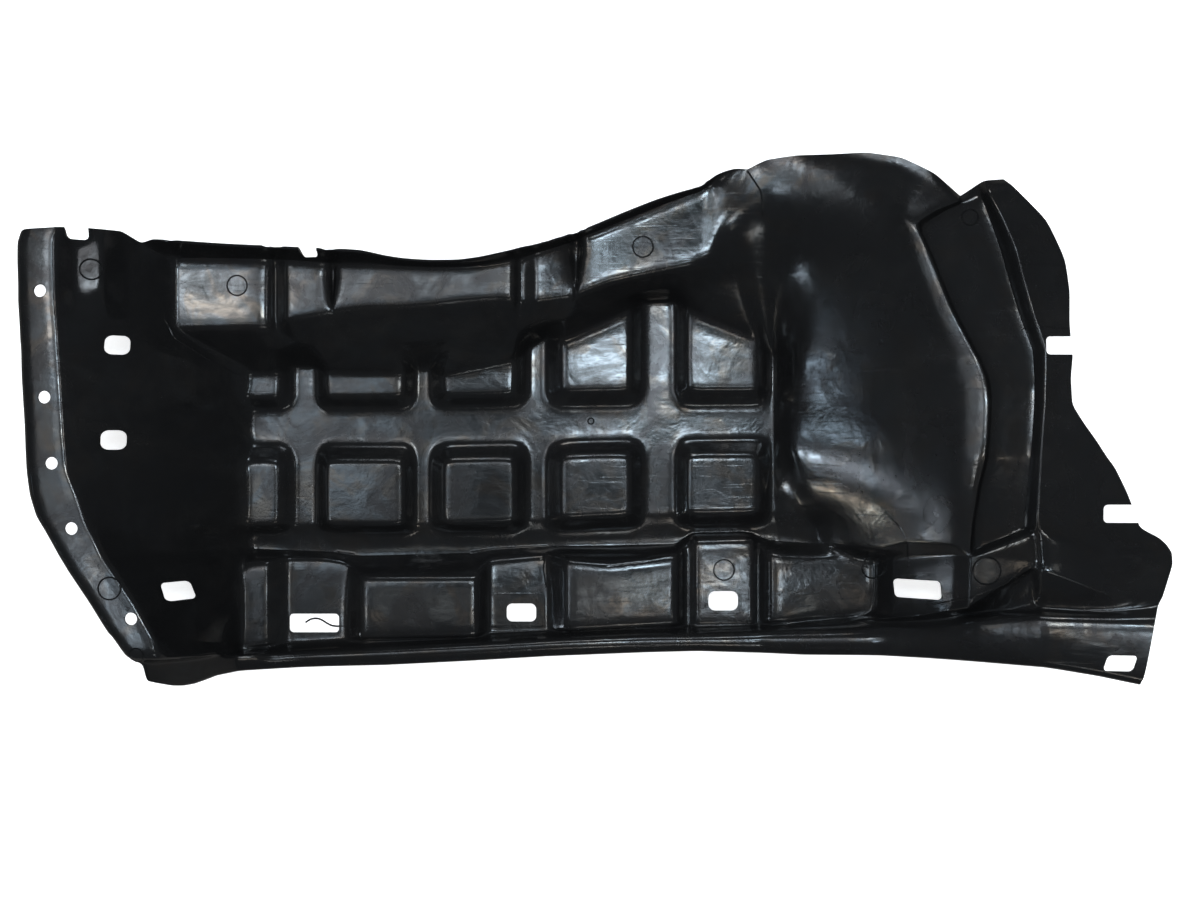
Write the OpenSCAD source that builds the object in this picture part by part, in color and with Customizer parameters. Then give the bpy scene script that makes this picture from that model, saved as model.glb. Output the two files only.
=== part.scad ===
// Wheel arch liner, right-hand front half, moulded in one piece.
// It lies on its back as it would on a bench: the wheel side faces up (+Z),
// the front flange is at -X, the inboard edge at +Y and the outboard rail at -Y.
// The moulded sheet is a loft: rows run along the liner, columns run across it,
// and each crossing gets its height from the form that it belongs to.

/* [Sheet] */
// Length along the car, mm
length = 793; // [740:1:850]
// Width across the car at the widest place, mm
width = 378; // [340:1:420]
// Wall thickness of the moulding, mm
wall = 2.5; // [2:0.1:3]

/* [Front] */
// Height of the front flange above the floor of the long groove, mm
flange_height = 130; // [115:1:145]
// Drop of the rim that stiffens the front flange, mm
rim_drop = 5; // [3:0.5:8]
// Diameter of the five flange holes, mm
hole_d = 8.6; // [6:0.2:10]

/* [Floor] */
// Lift of the channel floors above the long groove, mm
channel_lift = 4; // [2:0.5:6]
// Rise of the ten floor pads above their channels, mm
pad_rise = 10; // [6:0.5:14]
// Rise of the tall blocks of the outboard strip above the groove, mm
block_rise = 22; // [16:1:26]
// Rise of the clip seats of the outboard strip above the groove, mm
seat_rise = 11; // [8:0.5:14]

/* [Inboard band] */
// Height of the band above the long groove, mm
band_height = 50; // [42:1:58]
// Depth of the two channels and two grooves across the band, mm
band_groove = 7; // [4:0.5:10]
// Height of the lip at the front half of the band, mm
lip_front = 27; // [16:1:32]
// Height of the lip at the middle of the band, mm
lip_middle = 15; // [8:1:22]

/* [Rear] */
// Height of the rear crest above the long groove, mm
crest_height = 110; // [98:1:122]
// Step down behind the crest, mm
joggle = 9; // [5:0.5:12]
// Height of the rear flange at its second bend, mm
rear_height = 116; // [106:1:126]

/* [Outboard rail] */
// Rise of the rail above the foot it stands on, mm
rail_rise = 19; // [12:1:24]
// Drop of the turned-down edge of the rail, mm
rail_edge = 8; // [5:0.5:10]

/* [Clip slots] */
// Width of the clip slots, mm
slot_w = 14; // [10:0.5:15]
// Length of the short clip slots, mm
slot_short = 22; // [17:0.5:24]
// Length of the long clip slots, mm
slot_long = 37; // [30:0.5:40]
// Corner radius of the clip slots, mm
slot_r = 3; // [1:0.5:4.5]
// Width of the open notches, mm
notch_w = 12.5; // [9:0.5:14]

/* [Hidden] */
kx = length / 793;
ky = width / 378;

// Rows: y of each lengthwise line at x. All plan values are millimetres.
top_edge = [[-399, 143], [-396.5, 147], [-391, 150], [-377.5, 151], [-365, 152], [-352, 153.5], [-333, 153.5],
  [-329, 147], [-325, 147], [-319, 148.5], [-307, 148], [-294, 146], [-255, 144], [-212, 142],
  [-163, 140], [-153, 138.5], [-143, 135.5], [-121, 134.5], [-96, 135], [-85, 137.5], [-67, 141.5],
  [-38, 148], [-10, 157], [18, 169], [46, 180], [75, 189.5], [79, 192], [83, 198], [103, 204],
  [106, 202], [118, 208], [133, 210], [154, 211.5], [172, 209], [182, 210], [196, 211.5],
  [206, 209], [222, 201], [235, 193.5], [248, 182.5], [252, 177.5], [261, 184.5], [268, 188],
  [281, 189]];
lip_foot = [[-399, 142], [-374, 144.5], [-364, 141], [-345, 145], [-334, 144.5], [-323, 142.5],
  [-313, 139.5], [-260, 139], [-240, 139], [-199, 136], [-166, 135.5], [-144, 133.5],
  [-123, 132.5], [-97, 132.5], [-79, 134.5], [-65, 137], [-29, 148.5], [0, 159.5], [29, 171.5],
  [58, 183], [76, 189], [84, 195], [104, 200], [119, 204], [144, 206], [176, 206], [201, 206],
  [222, 195], [239, 184], [251, 173.5], [266, 178], [279, 184]];
band_low = [[-399, 102], [-364, 96], [-338, 92], [-312, 89.5], [-307, 87.5], [-240, 88.5],
  [-235, 90.5], [-227, 94], [-199, 98], [-189, 102.5], [-184, 103.5], [-130, 104], [-108, 108],
  [-72, 110.5], [-58, 108.5], [-45, 108], [-29, 110], [-14, 113.5], [5, 121], [38, 128],
  [66, 134], [88, 145], [106, 158], [122, 168], [144, 172], [176, 168], [205, 152], [222, 141],
  [232, 137], [277, 124.5], [321, 109.5]];
wall_foot = [[-399, 71], [-364, 64.5], [-337, 62], [-305, 59], [-267, 56.5], [-237, 57],
  [-224, 58.5], [-204, 57], [-148, 56.5], [-115, 55.5], [-89, 59.5], [-62, 66], [-52, 73],
  [-40, 79.5], [-27, 80], [0, 92], [23, 102.5], [33, 106], [55, 107], [66, 102.5], [113, 84.5],
  [120, 77], [138, 73.5], [172, 70], [220, 67.5], [265, 63], [302, 65.5], [323, 66]];
pad_a_low = [[-399, 42], [-267, 38], [-148, 39.5], [-59, 41.5], [0, 44], [119, 44], [330, 42]];
chan_top = [[-399, 33], [-269, 30.5], [-149, 31.5], [-60, 33], [0, 33.5], [119, 34.5], [330, 31]];
chan_low = [[-399, 2], [-269, 3.5], [-149, 3], [-60, 4.5], [0, 6.5], [130, 8], [340, 6]];
pad_b_top = [[-399, -9], [-267, -7.5], [-148, -7.5], [-59, -6], [0, -3.5], [119, -3], [350, -5]];
pad_b_low = [[-399, -52], [-267, -56.5], [-148, -56.5], [-59, -54], [0, -49.5], [119, -47],
  [210, -48], [280, -49], [300, -44], [320, -46], [345, -52], [375, -54]];
groove_top = [[-399, -58], [-270, -62], [-150, -62], [-60, -61], [30, -58], [120, -55.5],
  [212, -55], [262, -57], [288, -54], [300, -49], [318, -51], [345, -61], [390, -60.5]];
groove_low = [[-399, -72], [-270, -73.5], [-237, -75], [-192, -77], [-180, -79.5], [-92, -77],
  [-84, -74], [-41, -72], [-25, -72], [58, -70.5], [67, -62], [112, -61], [127, -68], [202, -72],
  [214, -66], [262, -65], [280, -65], [288, -61], [300, -53], [318, -55.5], [345, -68],
  [393, -65]];
strip_top = [[-399, -84], [-267, -83.5], [-235, -83.5], [-190, -85], [-184, -90.5], [-177, -94],
  [-91, -94], [-83, -83.5], [-41, -79], [-25, -81], [8, -84], [57, -77.5], [67, -67],
  [111, -65.5], [125, -75.5], [147, -78.5], [202, -81], [213, -77], [247, -72.5], [258, -71],
  [282, -71], [290, -67], [300, -57], [318, -60], [345, -75], [394, -70.5]];
strip_mid = [[-399, -104], [-309, -104], [-267, -108], [-235, -111.5], [-190, -111.5],
  [-177, -110.5], [-91, -110.5], [-83, -109.5], [-41, -108], [-25, -107], [57, -103.5],
  [70, -99], [111, -99], [125, -103.5], [202, -99.5], [213, -90], [247, -77.5], [258, -75],
  [303, -77], [345, -82], [394, -79]];
strip_low = [[-399, -125], [-309, -125], [-286, -135], [-273, -138], [-267, -143], [-235, -141.5],
  [-177, -137.5], [-91, -136], [-83, -132.5], [-41, -131.5], [-25, -132], [57, -127.5],
  [70, -127], [111, -127], [125, -125.5], [202, -121], [211, -119.5], [222, -117], [238, -114.5],
  [261, -106.5], [272, -101], [291, -88.5], [303, -80], [321, -87], [347, -97], [386, -101.5]];
rail_foot = [[-340, -141], [-311, -141], [-287, -144.5], [-266, -147.5], [-223, -145.5],
  [-148, -142], [-89, -139], [-29, -135], [37, -131.5], [67, -132.5], [119, -130.5],
  [201, -125], [245, -120.5], [283, -112], [308, -110], [361, -112], [385, -108]];
ridge_one = [[-320, -147], [-309, -147], [-262, -150], [-220, -148], [-147, -144.5],
  [-88, -141.5], [-29, -138], [36, -135.5], [66, -135], [110, -133.5], [199, -129],
  [243, -124], [280, -116], [297, -114.5], [313, -116], [359, -117], [383, -118]];
ridge_two = [[-320, -152.5], [-309, -153], [-295, -155], [-281, -156], [-262, -156],
  [-147, -151.5], [-29, -145.5], [51, -143.5], [110, -144], [199, -143.5], [244, -143.5],
  [300, -146], [349, -153], [377, -157]];
low_edge = [[-320, -157], [-314, -158.5], [-308, -161.5], [-300, -165], [-292, -166.5],
  [-284, -164.5], [-279, -162.5], [-260, -161.5], [-202, -159.5], [-158, -158.5],
  [-99, -155.5], [-40, -152], [33, -149], [73, -148], [107, -149], [151, -150], [208, -149],
  [241, -149], [273, -149.5], [298, -149.5], [324, -152.5], [350, -156.5], [375, -161.5]];

// Columns of the middle: x where they cross the band, the floor and the strip.
band_x = [-307, -302, -271, -240, -236, -231, -227, -217, -198, -194, -189, -170, -144, -123,
  -101, -87, -72, -63, -58, -50, -46, -36, -25, -19, -16, -11, 5, 18, 30, 40, 50, 58, 66, 74, 82,
  90, 98, 106];
floor_x = [-264, -260, -246, -238, -229, -220, -211, -204, -197, -189, -154, -146, -138, -133,
  -127, -116, -109, -70, -63, -54, -47, -40, -29, -21, -3, 15, 23, 32, 44, 56, 60.5, 65, 73, 92,
  111, 119, 127, 130];
strip_x = [-266, -262, -250, -245, -234, -222, -205, -190, -186, -177, -159, -144, -133, -122,
  -111, -100, -91, -83, -74, -63, -52, -40, -35, -25, -7, 8, 22, 37, 50, 57, 64, 71, 76, 106,
  112, 118, 125, 137];
// Which middle columns stand high on the floor, and how the strip steps.
floor_up = [1, 1, 1, 1, 0, 0, 0, 1, 1, 1, 1, 1, 0, 0, 0, 1, 1, 1, 1, 0, 0, 0, 1, 1, 1, 1, 1, 0,
  0, 0, 0.5, 1, 1, 1, 1, 1, 0, 0];
// Sides of the pads and of their feet: -1 left, 1 right.
pad_side = [0, 0, 0, 1, 0, 0, 0, -1, 0, 0, 0, 1, 0, 0, 0, -1, 0, 0, 1, 0, 0, 0, -1, 0, 0, 0, 1, 0,
  0, 0, 0, -1, 0, 0, 0, 1, 0, 0];
pad_foot = [0, 0, 0, 0, 1, 0, -1, 0, 0, 0, 0, 0, 1, 0, -1, 0, 0, 0, 0, 1, 0, -1, 0, 0, 0, 0, 0, 1,
  0, -1, 0, 0, 0, 0, 0, 0, 1, 0];
// Depth of the channels and of the tapered grooves of the band, column by column.
channel_dip = [[3, 0], [4, 1], [5, 0.55], [6, 0], [17, 0], [18, 1], [19, 0.55], [20, 0.3], [21, 0.45], [22, 0.65],
  [23, 0]];
wall_drop = [[33, 0], [34, -3], [35, -2], [36, 7], [37, 16]];
groove_dip = [[8, 0], [9, 1], [10, 0], [22, 0], [23, 1.4], [24, 1.4], [25, 0]];
strip_up = [0.8, 0.8, 0.8, 0.8, -0.2, -0.2, -0.2, -0.2, 0, 1, 1, 1, 1, 1, 1, 1, 1, 0, 0, 0, 0, 0,
  0.2, 1, 1, 1, 1, 1, 1, 1, -0.2, 0.35, 0.35, 0.35, 0.35, -0.2, 1, 1];

// Front edge, bend and foot of the front panel, and the rear lines, row by row.
rows = 30;
front_x = [-391.5, -398, -398, -397.5, -397.5, -396.5, -396, -395.5, -395, -394.5, -394, -393,
  -392.5, -392, -391.5, -389.5, -385, -380.5, -377, -369.5, -362.5, -349, -336, -333, -324,
  -314, -313, -312.5, -311.5, -311.5];
bend_x = [-373.5, -373.5, -373.5, -373, -372.5, -371, -370.5, -370, -369, -368.5, -368, -367,
  -366, -365.5, -365, -361.5, -357.5, -353.5, -350, -344, -337.5, -325, -314, -312, -306,
  -309, -309, -309, -308, -308];
// The dome: where it leaves the floor, the top of its steep foot, and that top's height.
valley_x = [106, 107, 110, 115, 120, 128, 130, 130, 130, 130, 130, 130, 130, 130, 130, 132, 136,
  141, 148, 153, 137, 137, 137, 137, 137, 137, 137, 137, 137, 137];
foot_x = [120, 121, 124, 129, 136, 145, 146, 145, 145, 145, 144.5, 142, 140.5, 143, 146, 152,
  160, 165, 170, 173];
foot_top = [57, 57, 57, 56, 54, 45, 38, 37, 34, 33, 31, 29, 27, 27, 27, 27, 26, 25, 24, 22];
crest_x = [251.5, 251.5, 236, 220, 229, 243.5, 259, 262, 267, 268, 269, 268.3, 267.5, 266.4, 265,
  261.8, 260, 259, 258.5, 258, 257.5, 257, 257, 257, 262, 264, 266, 268, 268, 268];
bend2_x = [267, 268, 276.5, 286, 290.5, 298, 305, 305, 305, 304.7, 304.5, 303.5, 302.7, 302,
  301.7, 301, 300.5, 300, 300, 300, 301, 303, 303, 305, 308, 310, 312, 314, 314, 314];
rear_x = [281.5, 286, 309.5, 321.5, 324, 323.5, 324.5, 325.5, 324, 324.5, 325, 333, 342, 349, 354.5, 363,
  370, 372, 386, 391, 394, 395, 388.5, 387, 384.5, 380.5, 374, 372, 372, 372];

strip_rise_x = [160, 185, 203, 212, 225, 238, 249];
strip_rise_z = [22, 22, 22, 52, 66, 79, 89];

// Heights along the liner that other rows share.
lip_rise = [[-374, 0], [-364, 5], [-333, 6], [-329, 1], [-325, 1], [-318, lip_front * 0.6],
  [-300, lip_front], [-160, lip_front], [-143, lip_middle], [40, lip_middle], [90, 6], [110, 0],
  [155, 0], [175, -6], [300, -6]];
crest_z = [[-170, -14], [-110, -12], [-73, -10], [-40, -3], [0, 4], [40, 3.5], [100, -3],
  [150, -8], [180, -10]];
foot_z = [[-312, 100], [-287, 60], [-266, 20], [-223, 10], [119, 12], [201, 30], [245, 55],
  [283, 80], [308, 92], [361, 108], [385, 113]];

// Rows 2 and 3 share out the band, row 5 the wall under it, rows 11 and 15 the floor.
wall_share = [[70, 0.5], [100, 0.35], [150, 0.35], [200, 0.5]];
function mix(a, b, t) = a + (b - a) * t;
function row_y(j, x) =
  j == 0 ? lookup(x, top_edge) :
  j == 1 ? lookup(x, lip_foot) :
  j == 2 ? mix(lookup(x, lip_foot), lookup(x, band_low), 0.35) :
  j == 3 ? mix(lookup(x, lip_foot), lookup(x, band_low), 0.7) :
  j == 4 ? lookup(x, band_low) :
  j == 5 ? mix(lookup(x, band_low), lookup(x, wall_foot), lookup(x, wall_share)) :
  j == 6 ? lookup(x, wall_foot) + 4.5 :
  j == 7 ? lookup(x, wall_foot) :
  j == 8 ? lookup(x, pad_a_low) + 7 :
  j == 9 ? lookup(x, pad_a_low) :
  j == 10 ? lookup(x, chan_top) :
  j == 11 ? mix(lookup(x, chan_top), lookup(x, chan_low), 0.5) :
  j == 12 ? lookup(x, chan_low) :
  j == 13 ? lookup(x, pad_b_top) :
  j == 14 ? lookup(x, pad_b_top) - 7 :
  j == 15 ? mix(lookup(x, pad_b_top), lookup(x, pad_b_low), 0.5) :
  j == 16 ? lookup(x, pad_b_low) + 7 :
  j == 17 ? lookup(x, pad_b_low) :
  j == 18 ? lookup(x, groove_top) :
  j == 19 ? lookup(x, groove_low) :
  j == 20 ? lookup(x, strip_top) :
  j == 21 ? lookup(x, strip_mid) :
  j == 22 ? lookup(x, strip_low) :
  j == 23 ? lookup(x, strip_low) - 2.5 :
  j == 24 ? lookup(x, rail_foot) :
  j == 25 ? lookup(x, ridge_one) :
  j == 26 ? lookup(x, ridge_two) :
  j == 27 ? lookup(x, low_edge) + 1.5 :
  j == 28 ? lookup(x, low_edge) :
  lookup(x, low_edge) - 1;

// How far a row has turned from the band to the floor, and on to the strip.
function to_floor(j) = j < 5 ? 0 : j == 5 ? 0.5 : 1;
function to_strip(j) = j < 18 ? 0 : j == 18 ? 0.35 : j == 19 ? 0.7 : 1;
panel_part = [0.12, 0.25, 0.4, 0.55, 0.7, 0.85];
rise_part = [0.15, 0.33, 0.52, 0.7, 0.87];
rail_part = [0.1, 0.24, 0.39, 0.52, 0.62, 0.76, 0.89];
middle = len(floor_x);
n_front = 4 + len(panel_part);
n_rise = n_front + middle;
n_crest = n_rise + len(rail_part);
cols = n_crest + 7;

// The grooves of the band close up towards its lower edge.
function taper(j) = j == 2 ? 0.25 : j == 3 ? 0.6 : 0.75;
function in_groove(k) = k == 8 || k == 10 || (k > 21 && k < 26);
function rise_x(j, n) =
  j > 22 ? mix(valley_x[j], crest_x[j], rail_part[n]) :
  j > 19 ? strip_rise_x[n] :
  n < 2 ? mix(valley_x[j], foot_x[j], n == 0 ? 0.5 : 1) :
  mix(foot_x[j], crest_x[j], rise_part[n - 2]);
function mid_x(j, k) = mix(mix(band_x[k], floor_x[k], to_floor(j)), strip_x[k], to_strip(j));
function col_x(j, i) =
  i == 0 ? front_x[j] :
  i == 1 ? front_x[j] + min(3.4, (bend_x[j] - front_x[j]) * 0.4) :
  i == 2 ? bend_x[j] :
  i == 3 ? bend_x[j] + 3.5 :
  i < n_front ? mix(bend_x[j] + 3.5, mid_x(j, 0), panel_part[i - 4]) :
  i < n_rise && in_groove(i - n_front) && j > 1 && j < 5
    ? mix(mid_x(j, i - n_front), i - n_front < 11 ? -194 : -17.5, taper(j)) :
  i < n_rise ? mid_x(j, i - n_front) :
  i < n_crest ? rise_x(j, i - n_rise) :
  i == n_crest ? crest_x[j] :
  i == n_crest + 1 ? crest_x[j] + 2.5 :
  i == n_crest + 2 ? mix(crest_x[j] + 2.5, bend2_x[j], 0.82) :
  i == n_crest + 3 ? bend2_x[j] :
  i == n_crest + 4 ? bend2_x[j] + 4 :
  i == n_crest + 5 ? mix(bend2_x[j] + 4, rear_x[j], 0.5) :
  rear_x[j];

// Height of the middle of the liner at row j, column k of the middle.
function floor_z(k) = channel_lift + pad_rise * floor_up[k];
function band_dip(j, k) = band_groove * (lookup(k, channel_dip) * [0, 0.8, 1, 1, 1][j]
  + lookup(k, groove_dip) * [0, 0.9, 1, 0.8, 0][j]);
function strip_z(j, k) =
  seat_rise + (block_rise - seat_rise) * strip_up[k] + (j == 20 && strip_up[k] == 0 ? -2 : 0);
function mid_z(j, k, x) =
  j < 5 ? band_height - band_dip(j, k) + (j == 0 ? lookup(x, lip_rise) : 0) :
  j == 5 ? mix(band_height, channel_lift + pad_rise, 0.48) - lookup(k, wall_drop) :
  j == 6 ? channel_lift + (pad_rise + 5) * floor_up[k] :
  j < 10 ? floor_z(k) :
  j < 13 ? channel_lift :
  j < 18 ? floor_z(k) :
  j < 20 ? 0 :
  j < 23 ? strip_z(j, k) :
  j == 23 ? mix(strip_z(j, k), lookup(x, foot_z), 0.25) :
  j == 24 ? lookup(x, foot_z) :
  rail_z(j, x);
function rail_z(j, x) = lookup(x, foot_z)
  + (j == 25 ? rail_rise : j == 26 ? rail_rise - 2 : j == 27 ? rail_rise - 5
    : j == 28 ? rail_rise - 6 : rail_rise - 6 - rail_edge)
  * (x > 240 ? mix(1, 0.45, min(1, (x - 240) / 120)) : 1);

// The rear rise runs from the valley up to the crest, then steps down the joggle.
function crest_at(y) = crest_height + lookup(y, crest_z);
function rise_base(j) = j < 5 ? band_height : j == 5 ? 16.7 : j < 18 ? channel_lift : 0;
function swell(t) = 1 - pow(1 - t, 1.2);
function rise_z(j, n, x, y) =
  j > 19 ? strip_rise_z[n] - (j == 22 ? 3 : j == 23 ? 8 : 0) * (n > 2 ? 1 : 0.4) :
  n < 2 ? mix(rise_base(j), foot_top[j], n == 0 ? 0.45 : 1) :
  mix(foot_top[j], crest_at(y), swell(rise_part[n - 2])) + (j == 0 ? lookup(x, lip_rise) : 0);
function rear_step(j) = j == 0 ? -6 : j > 19 ? 3 : 0;
function rear_z(j, c, x, y) =
  j >= 24 ? (j == 24 ? lookup(x, foot_z) : rail_z(j, x)) :
  j > 19 && j < 23 && c <= 3 ? crest_at(y) + c * 2 :
  rear_step(j) + (
    c == 0 ? crest_at(y) :
    c == 1 ? crest_at(y) - joggle :
    c == 2 ? mix(crest_at(y) - joggle, rear_at(y), 0.1) :
    c == 3 ? rear_at(y) + 0.5 :
    c == 4 ? rear_at(y) :
    rear_at(y) - 0.5);
function rear_at(y) = rear_height + lookup(y, [[-170, -10], [-115, -8], [-80, -6], [-50, -2],
  [0, 0], [70, 0], [110, -3], [160, -8], [190, -12]]);

function panel_end(j) = mid_z(j, 0, col_x(j, n_front));
function front_pad(j, i) = i > 3 && i < 7 && j > 0 && j < 4
  ? 0.6 * (mix(flange_height - 3, 50, 0.25) - mix(flange_height - 3, 50, panel_part[i - 4])) + 2 : 0;
function front_z(j, i, x) =
  j >= 25 ? rail_z(j, x) :
  i == 0 ? flange_height - rim_drop :
  i < 3 ? flange_height :
  i == 3 ? flange_height - 3 + (j == 0 ? 3 : 0) :
  mix(flange_height - 3, j == 24 ? lookup(x, foot_z) : j < 5 ? band_height : panel_end(j),
    panel_part[i - 4]) + (j == 0 ? lookup(x, lip_rise) : 0) + front_pad(j, i);

// The corners of the pads and of their feet are drawn in to round them.
function corner_x(j, k) =
  j == 9 || j == 13 || j == 17 ? -2.2 * pad_side[k] :
  j == 10 || j == 12 || (j == 18 && k < 36) ? -3 * pad_foot[k] : 0;
function corner_y(j, k) =
  j == 9 || j == 17 ? 2.2 * abs(pad_side[k]) :
  j == 13 ? -2.2 * abs(pad_side[k]) :
  j == 10 || (j == 18 && k < 36) ? 2.6 * abs(pad_foot[k]) :
  j == 12 ? -2.6 * abs(pad_foot[k]) : 0;

function point(j, i) =
  let (x = col_x(j, i), y = row_y(j, x), k = i >= n_front && i < n_rise ? i - n_front : 0)
  [(x + corner_x(j, k)) * kx, (y + corner_y(j, k)) * ky,
    i < n_front ? front_z(j, i, x) :
    i < n_rise ? mid_z(j, k, x) :
    i < n_crest ? (j < 24 ? rise_z(j, i - n_rise, x, y)
      : j == 24 ? lookup(x, foot_z) : rail_z(j, x)) :
    rear_z(j, i - n_crest, x, y)];

// The sheet is the upper surface and the same surface set back by the wall.
grid = [for (j = [0:rows - 1]) [for (i = [0:cols - 1]) point(j, i)]];
function at(j, i) = grid[max(0, min(rows - 1, j))][max(0, min(cols - 1, i))];
function unit(v) = v / norm(v);
function normal(j, i) = unit(cross(at(j, i + 1) - at(j, i - 1), at(j - 1, i) - at(j + 1, i)));
upper = [for (j = [0:rows - 1]) for (i = [0:cols - 1]) grid[j][i]];
function set_back(j, i) = (i == 1 || i == 2) && j < 25 ? [0, 0, 1] :
  (i == 0 || i == 3) && j < 25 ? 0.8 * normal(j, i) : normal(j, i);
lower = [for (j = [0:rows - 1]) for (i = [0:cols - 1]) grid[j][i] - wall * set_back(j, i)];
total = rows * cols;

function id(j, i) = j * cols + i;
function flat_cut(j, i) =
  abs(grid[j][i][2] - grid[j + 1][i + 1][2]) <= abs(grid[j][i + 1][2] - grid[j + 1][i][2]);
function cell(j, i) =
  let (a = id(j, i), b = id(j, i + 1), c = id(j + 1, i + 1), d = id(j + 1, i))
  flat_cut(j, i) ? [[a, b, c], [a, c, d]] : [[a, b, d], [b, c, d]];
upper_faces = [for (j = [0:rows - 2]) for (i = [0:cols - 2]) for (t = cell(j, i)) t];
lower_faces = [for (t = upper_faces) [t[2] + total, t[1] + total, t[0] + total]];
rim_loop = concat(
  [for (i = [0:cols - 2]) id(0, i)],
  [for (j = [0:rows - 2]) id(j, cols - 1)],
  [for (i = [cols - 1:-1:1]) id(rows - 1, i)],
  [for (j = [rows - 1:-1:1]) id(j, 0)]);
rim_faces = [for (k = [0:len(rim_loop) - 1])
  let (a = rim_loop[k], b = rim_loop[(k + 1) % len(rim_loop)])
  for (t = [[b, a, a + total], [b, a + total, b + total]]) t];

module sheet() {
  polyhedron(points = concat(upper, lower), faces = concat(upper_faces, lower_faces, rim_faces),
    convexity = 12);
}

// Outline of a slot with rounded corners, its ends slanted by lean.
function corner(x, y, r, a0) = [for (a = [0:30:90]) [x + r * cos(a0 + a), y + r * sin(a0 + a)]];
function slot_path(l, w, r, lean) =
  let (p = concat(corner(l / 2 - r, w / 2 - r, r, 0), corner(r - l / 2, w / 2 - r, r, 90),
    corner(r - l / 2, r - w / 2, r, 180), corner(l / 2 - r, r - w / 2, r, 270)))
  [for (q = p) [q[0] - q[1] * lean, q[1]]];

module slot(x, y, z, l, w, lean = 0) {
  translate([x * kx, y * ky, z])
    linear_extrude(height = 60, center = true)
      polygon(slot_path(l, w, min(slot_r, w / 2 - 1), lean));
}

holes = [[-381.5, 108.5], [-378.5, 36], [-373.5, -9], [-360, -53.5], [-319.5, -115]];

module flange_holes() {
  for (p = holes)
    translate([p[0] * kx, p[1] * ky, flange_height - 20])
      cylinder(d = hole_d, h = 40, $fn = 48);
}

module clip_slots() {
  slot(-339, 73.5, flange_height - 36, slot_short - 6, slot_w - 0.5);
  slot(-340.5, 7, flange_height - 36, slot_short - 6, slot_w - 0.5);
  slot(-298, -99.5, flange_height - 50, slot_short - 6.5, slot_w - 1, 0.36);
  slot(-213, -129, seat_rise, slot_long, slot_w);
  slot(-58.5, -121, seat_rise, slot_short, slot_w - 0.5);
  slot(91.5, -112, seat_rise, slot_short, slot_w + 0.5);
  slot(227, -99.5, 62, slot_long - 8, slot_w - 0.5, 0.1);
  slot(358.5, -147, 108, slot_short - 2, slot_w - 3, -0.3);
}

module notches() {
  slot(-359.5, 153, flange_height, notch_w, 16);
  slot(-207.5, 147, 70, notch_w, 17);
  slot(327, 72, rear_height, 40, notch_w);
  slot(368, -44, rear_height, 42, notch_w);
}

module liner() {
  color([0.05, 0.05, 0.055])
    translate([1.5 * kx, -22 * ky, wall])
      difference() {
        sheet();
        union() {
          flange_holes();
          clip_slots();
          notches();
        }
      }
}

liner();
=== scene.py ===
"""Wheel arch liner: one moulded plastic shell, lying on its back on a pale studio floor.

The shell starts as a flat grid. Its rows run along the liner and its columns run across it,
and each crossing is lifted to the height of the form that it belongs to. The grid is then
subdivided, given its wall and cut for the holes, slots and notches.
Plan values below are millimetres; objects are in metres.
"""

import math

import bpy
import numpy as np
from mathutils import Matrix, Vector
from mathutils.bvhtree import BVHTree


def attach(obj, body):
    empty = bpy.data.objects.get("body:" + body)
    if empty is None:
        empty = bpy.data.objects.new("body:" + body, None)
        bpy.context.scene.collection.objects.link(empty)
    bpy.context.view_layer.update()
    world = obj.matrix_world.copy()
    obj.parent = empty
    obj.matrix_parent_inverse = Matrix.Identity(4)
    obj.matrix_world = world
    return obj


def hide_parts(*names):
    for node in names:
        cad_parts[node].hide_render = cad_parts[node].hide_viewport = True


bl_info = {
    "name": "Wheel arch liner",
    "version": (1, 0, 0),
    "blender": (4, 5, 0),
    "location": "3D View > Sidebar > Liner",
    "description": "Models a moulded wheel arch liner and the studio it lies in",
    "category": "Add Mesh",
}

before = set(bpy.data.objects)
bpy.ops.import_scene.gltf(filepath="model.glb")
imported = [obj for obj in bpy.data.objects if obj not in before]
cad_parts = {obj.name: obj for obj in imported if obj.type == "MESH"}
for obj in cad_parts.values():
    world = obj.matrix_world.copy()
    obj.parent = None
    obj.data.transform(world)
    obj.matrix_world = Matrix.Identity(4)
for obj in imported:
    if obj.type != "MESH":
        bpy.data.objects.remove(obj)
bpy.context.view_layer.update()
MM = 0.001
# The plan values are centred on the photo's axis; this puts them in the model's frame.
SHIFT_X, SHIFT_Y = 1.5, -22.0


# Settings

def distance(name, description, default):
    return bpy.props.FloatProperty(name=name, description=description, default=default,
                                   min=MM, subtype="DISTANCE", unit="LENGTH")


def fraction(name, description, default):
    return bpy.props.FloatProperty(name=name, description=description, default=default,
                                   min=0.0, max=1.0, subtype="FACTOR")


def paint(name, description, default):
    return bpy.props.FloatVectorProperty(name=name, description=description, default=default,
                                         size=3, min=0.0, max=1.0, subtype="COLOR")


class LinerShape(bpy.types.PropertyGroup):
    """Sizes of the moulded shell."""

    wall: distance("Wall", "Wall thickness of the moulding", 0.0025)
    flange_height: distance("Flange height", "Height of the flange above the long groove", 0.130)
    band_height: distance("Band height", "Height of the band above the long groove", 0.050)
    crest_height: distance("Crest height", "Height of the crest above the long groove", 0.110)
    pad_rise: distance("Pad rise", "Rise of the floor pads above their channels", 0.010)
    fillet: distance("Fillet", "Half width of the creases between two forms", 0.0016)
    hole_diameter: distance("Screw hole", "Diameter of the five flange holes", 0.0086)


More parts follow.
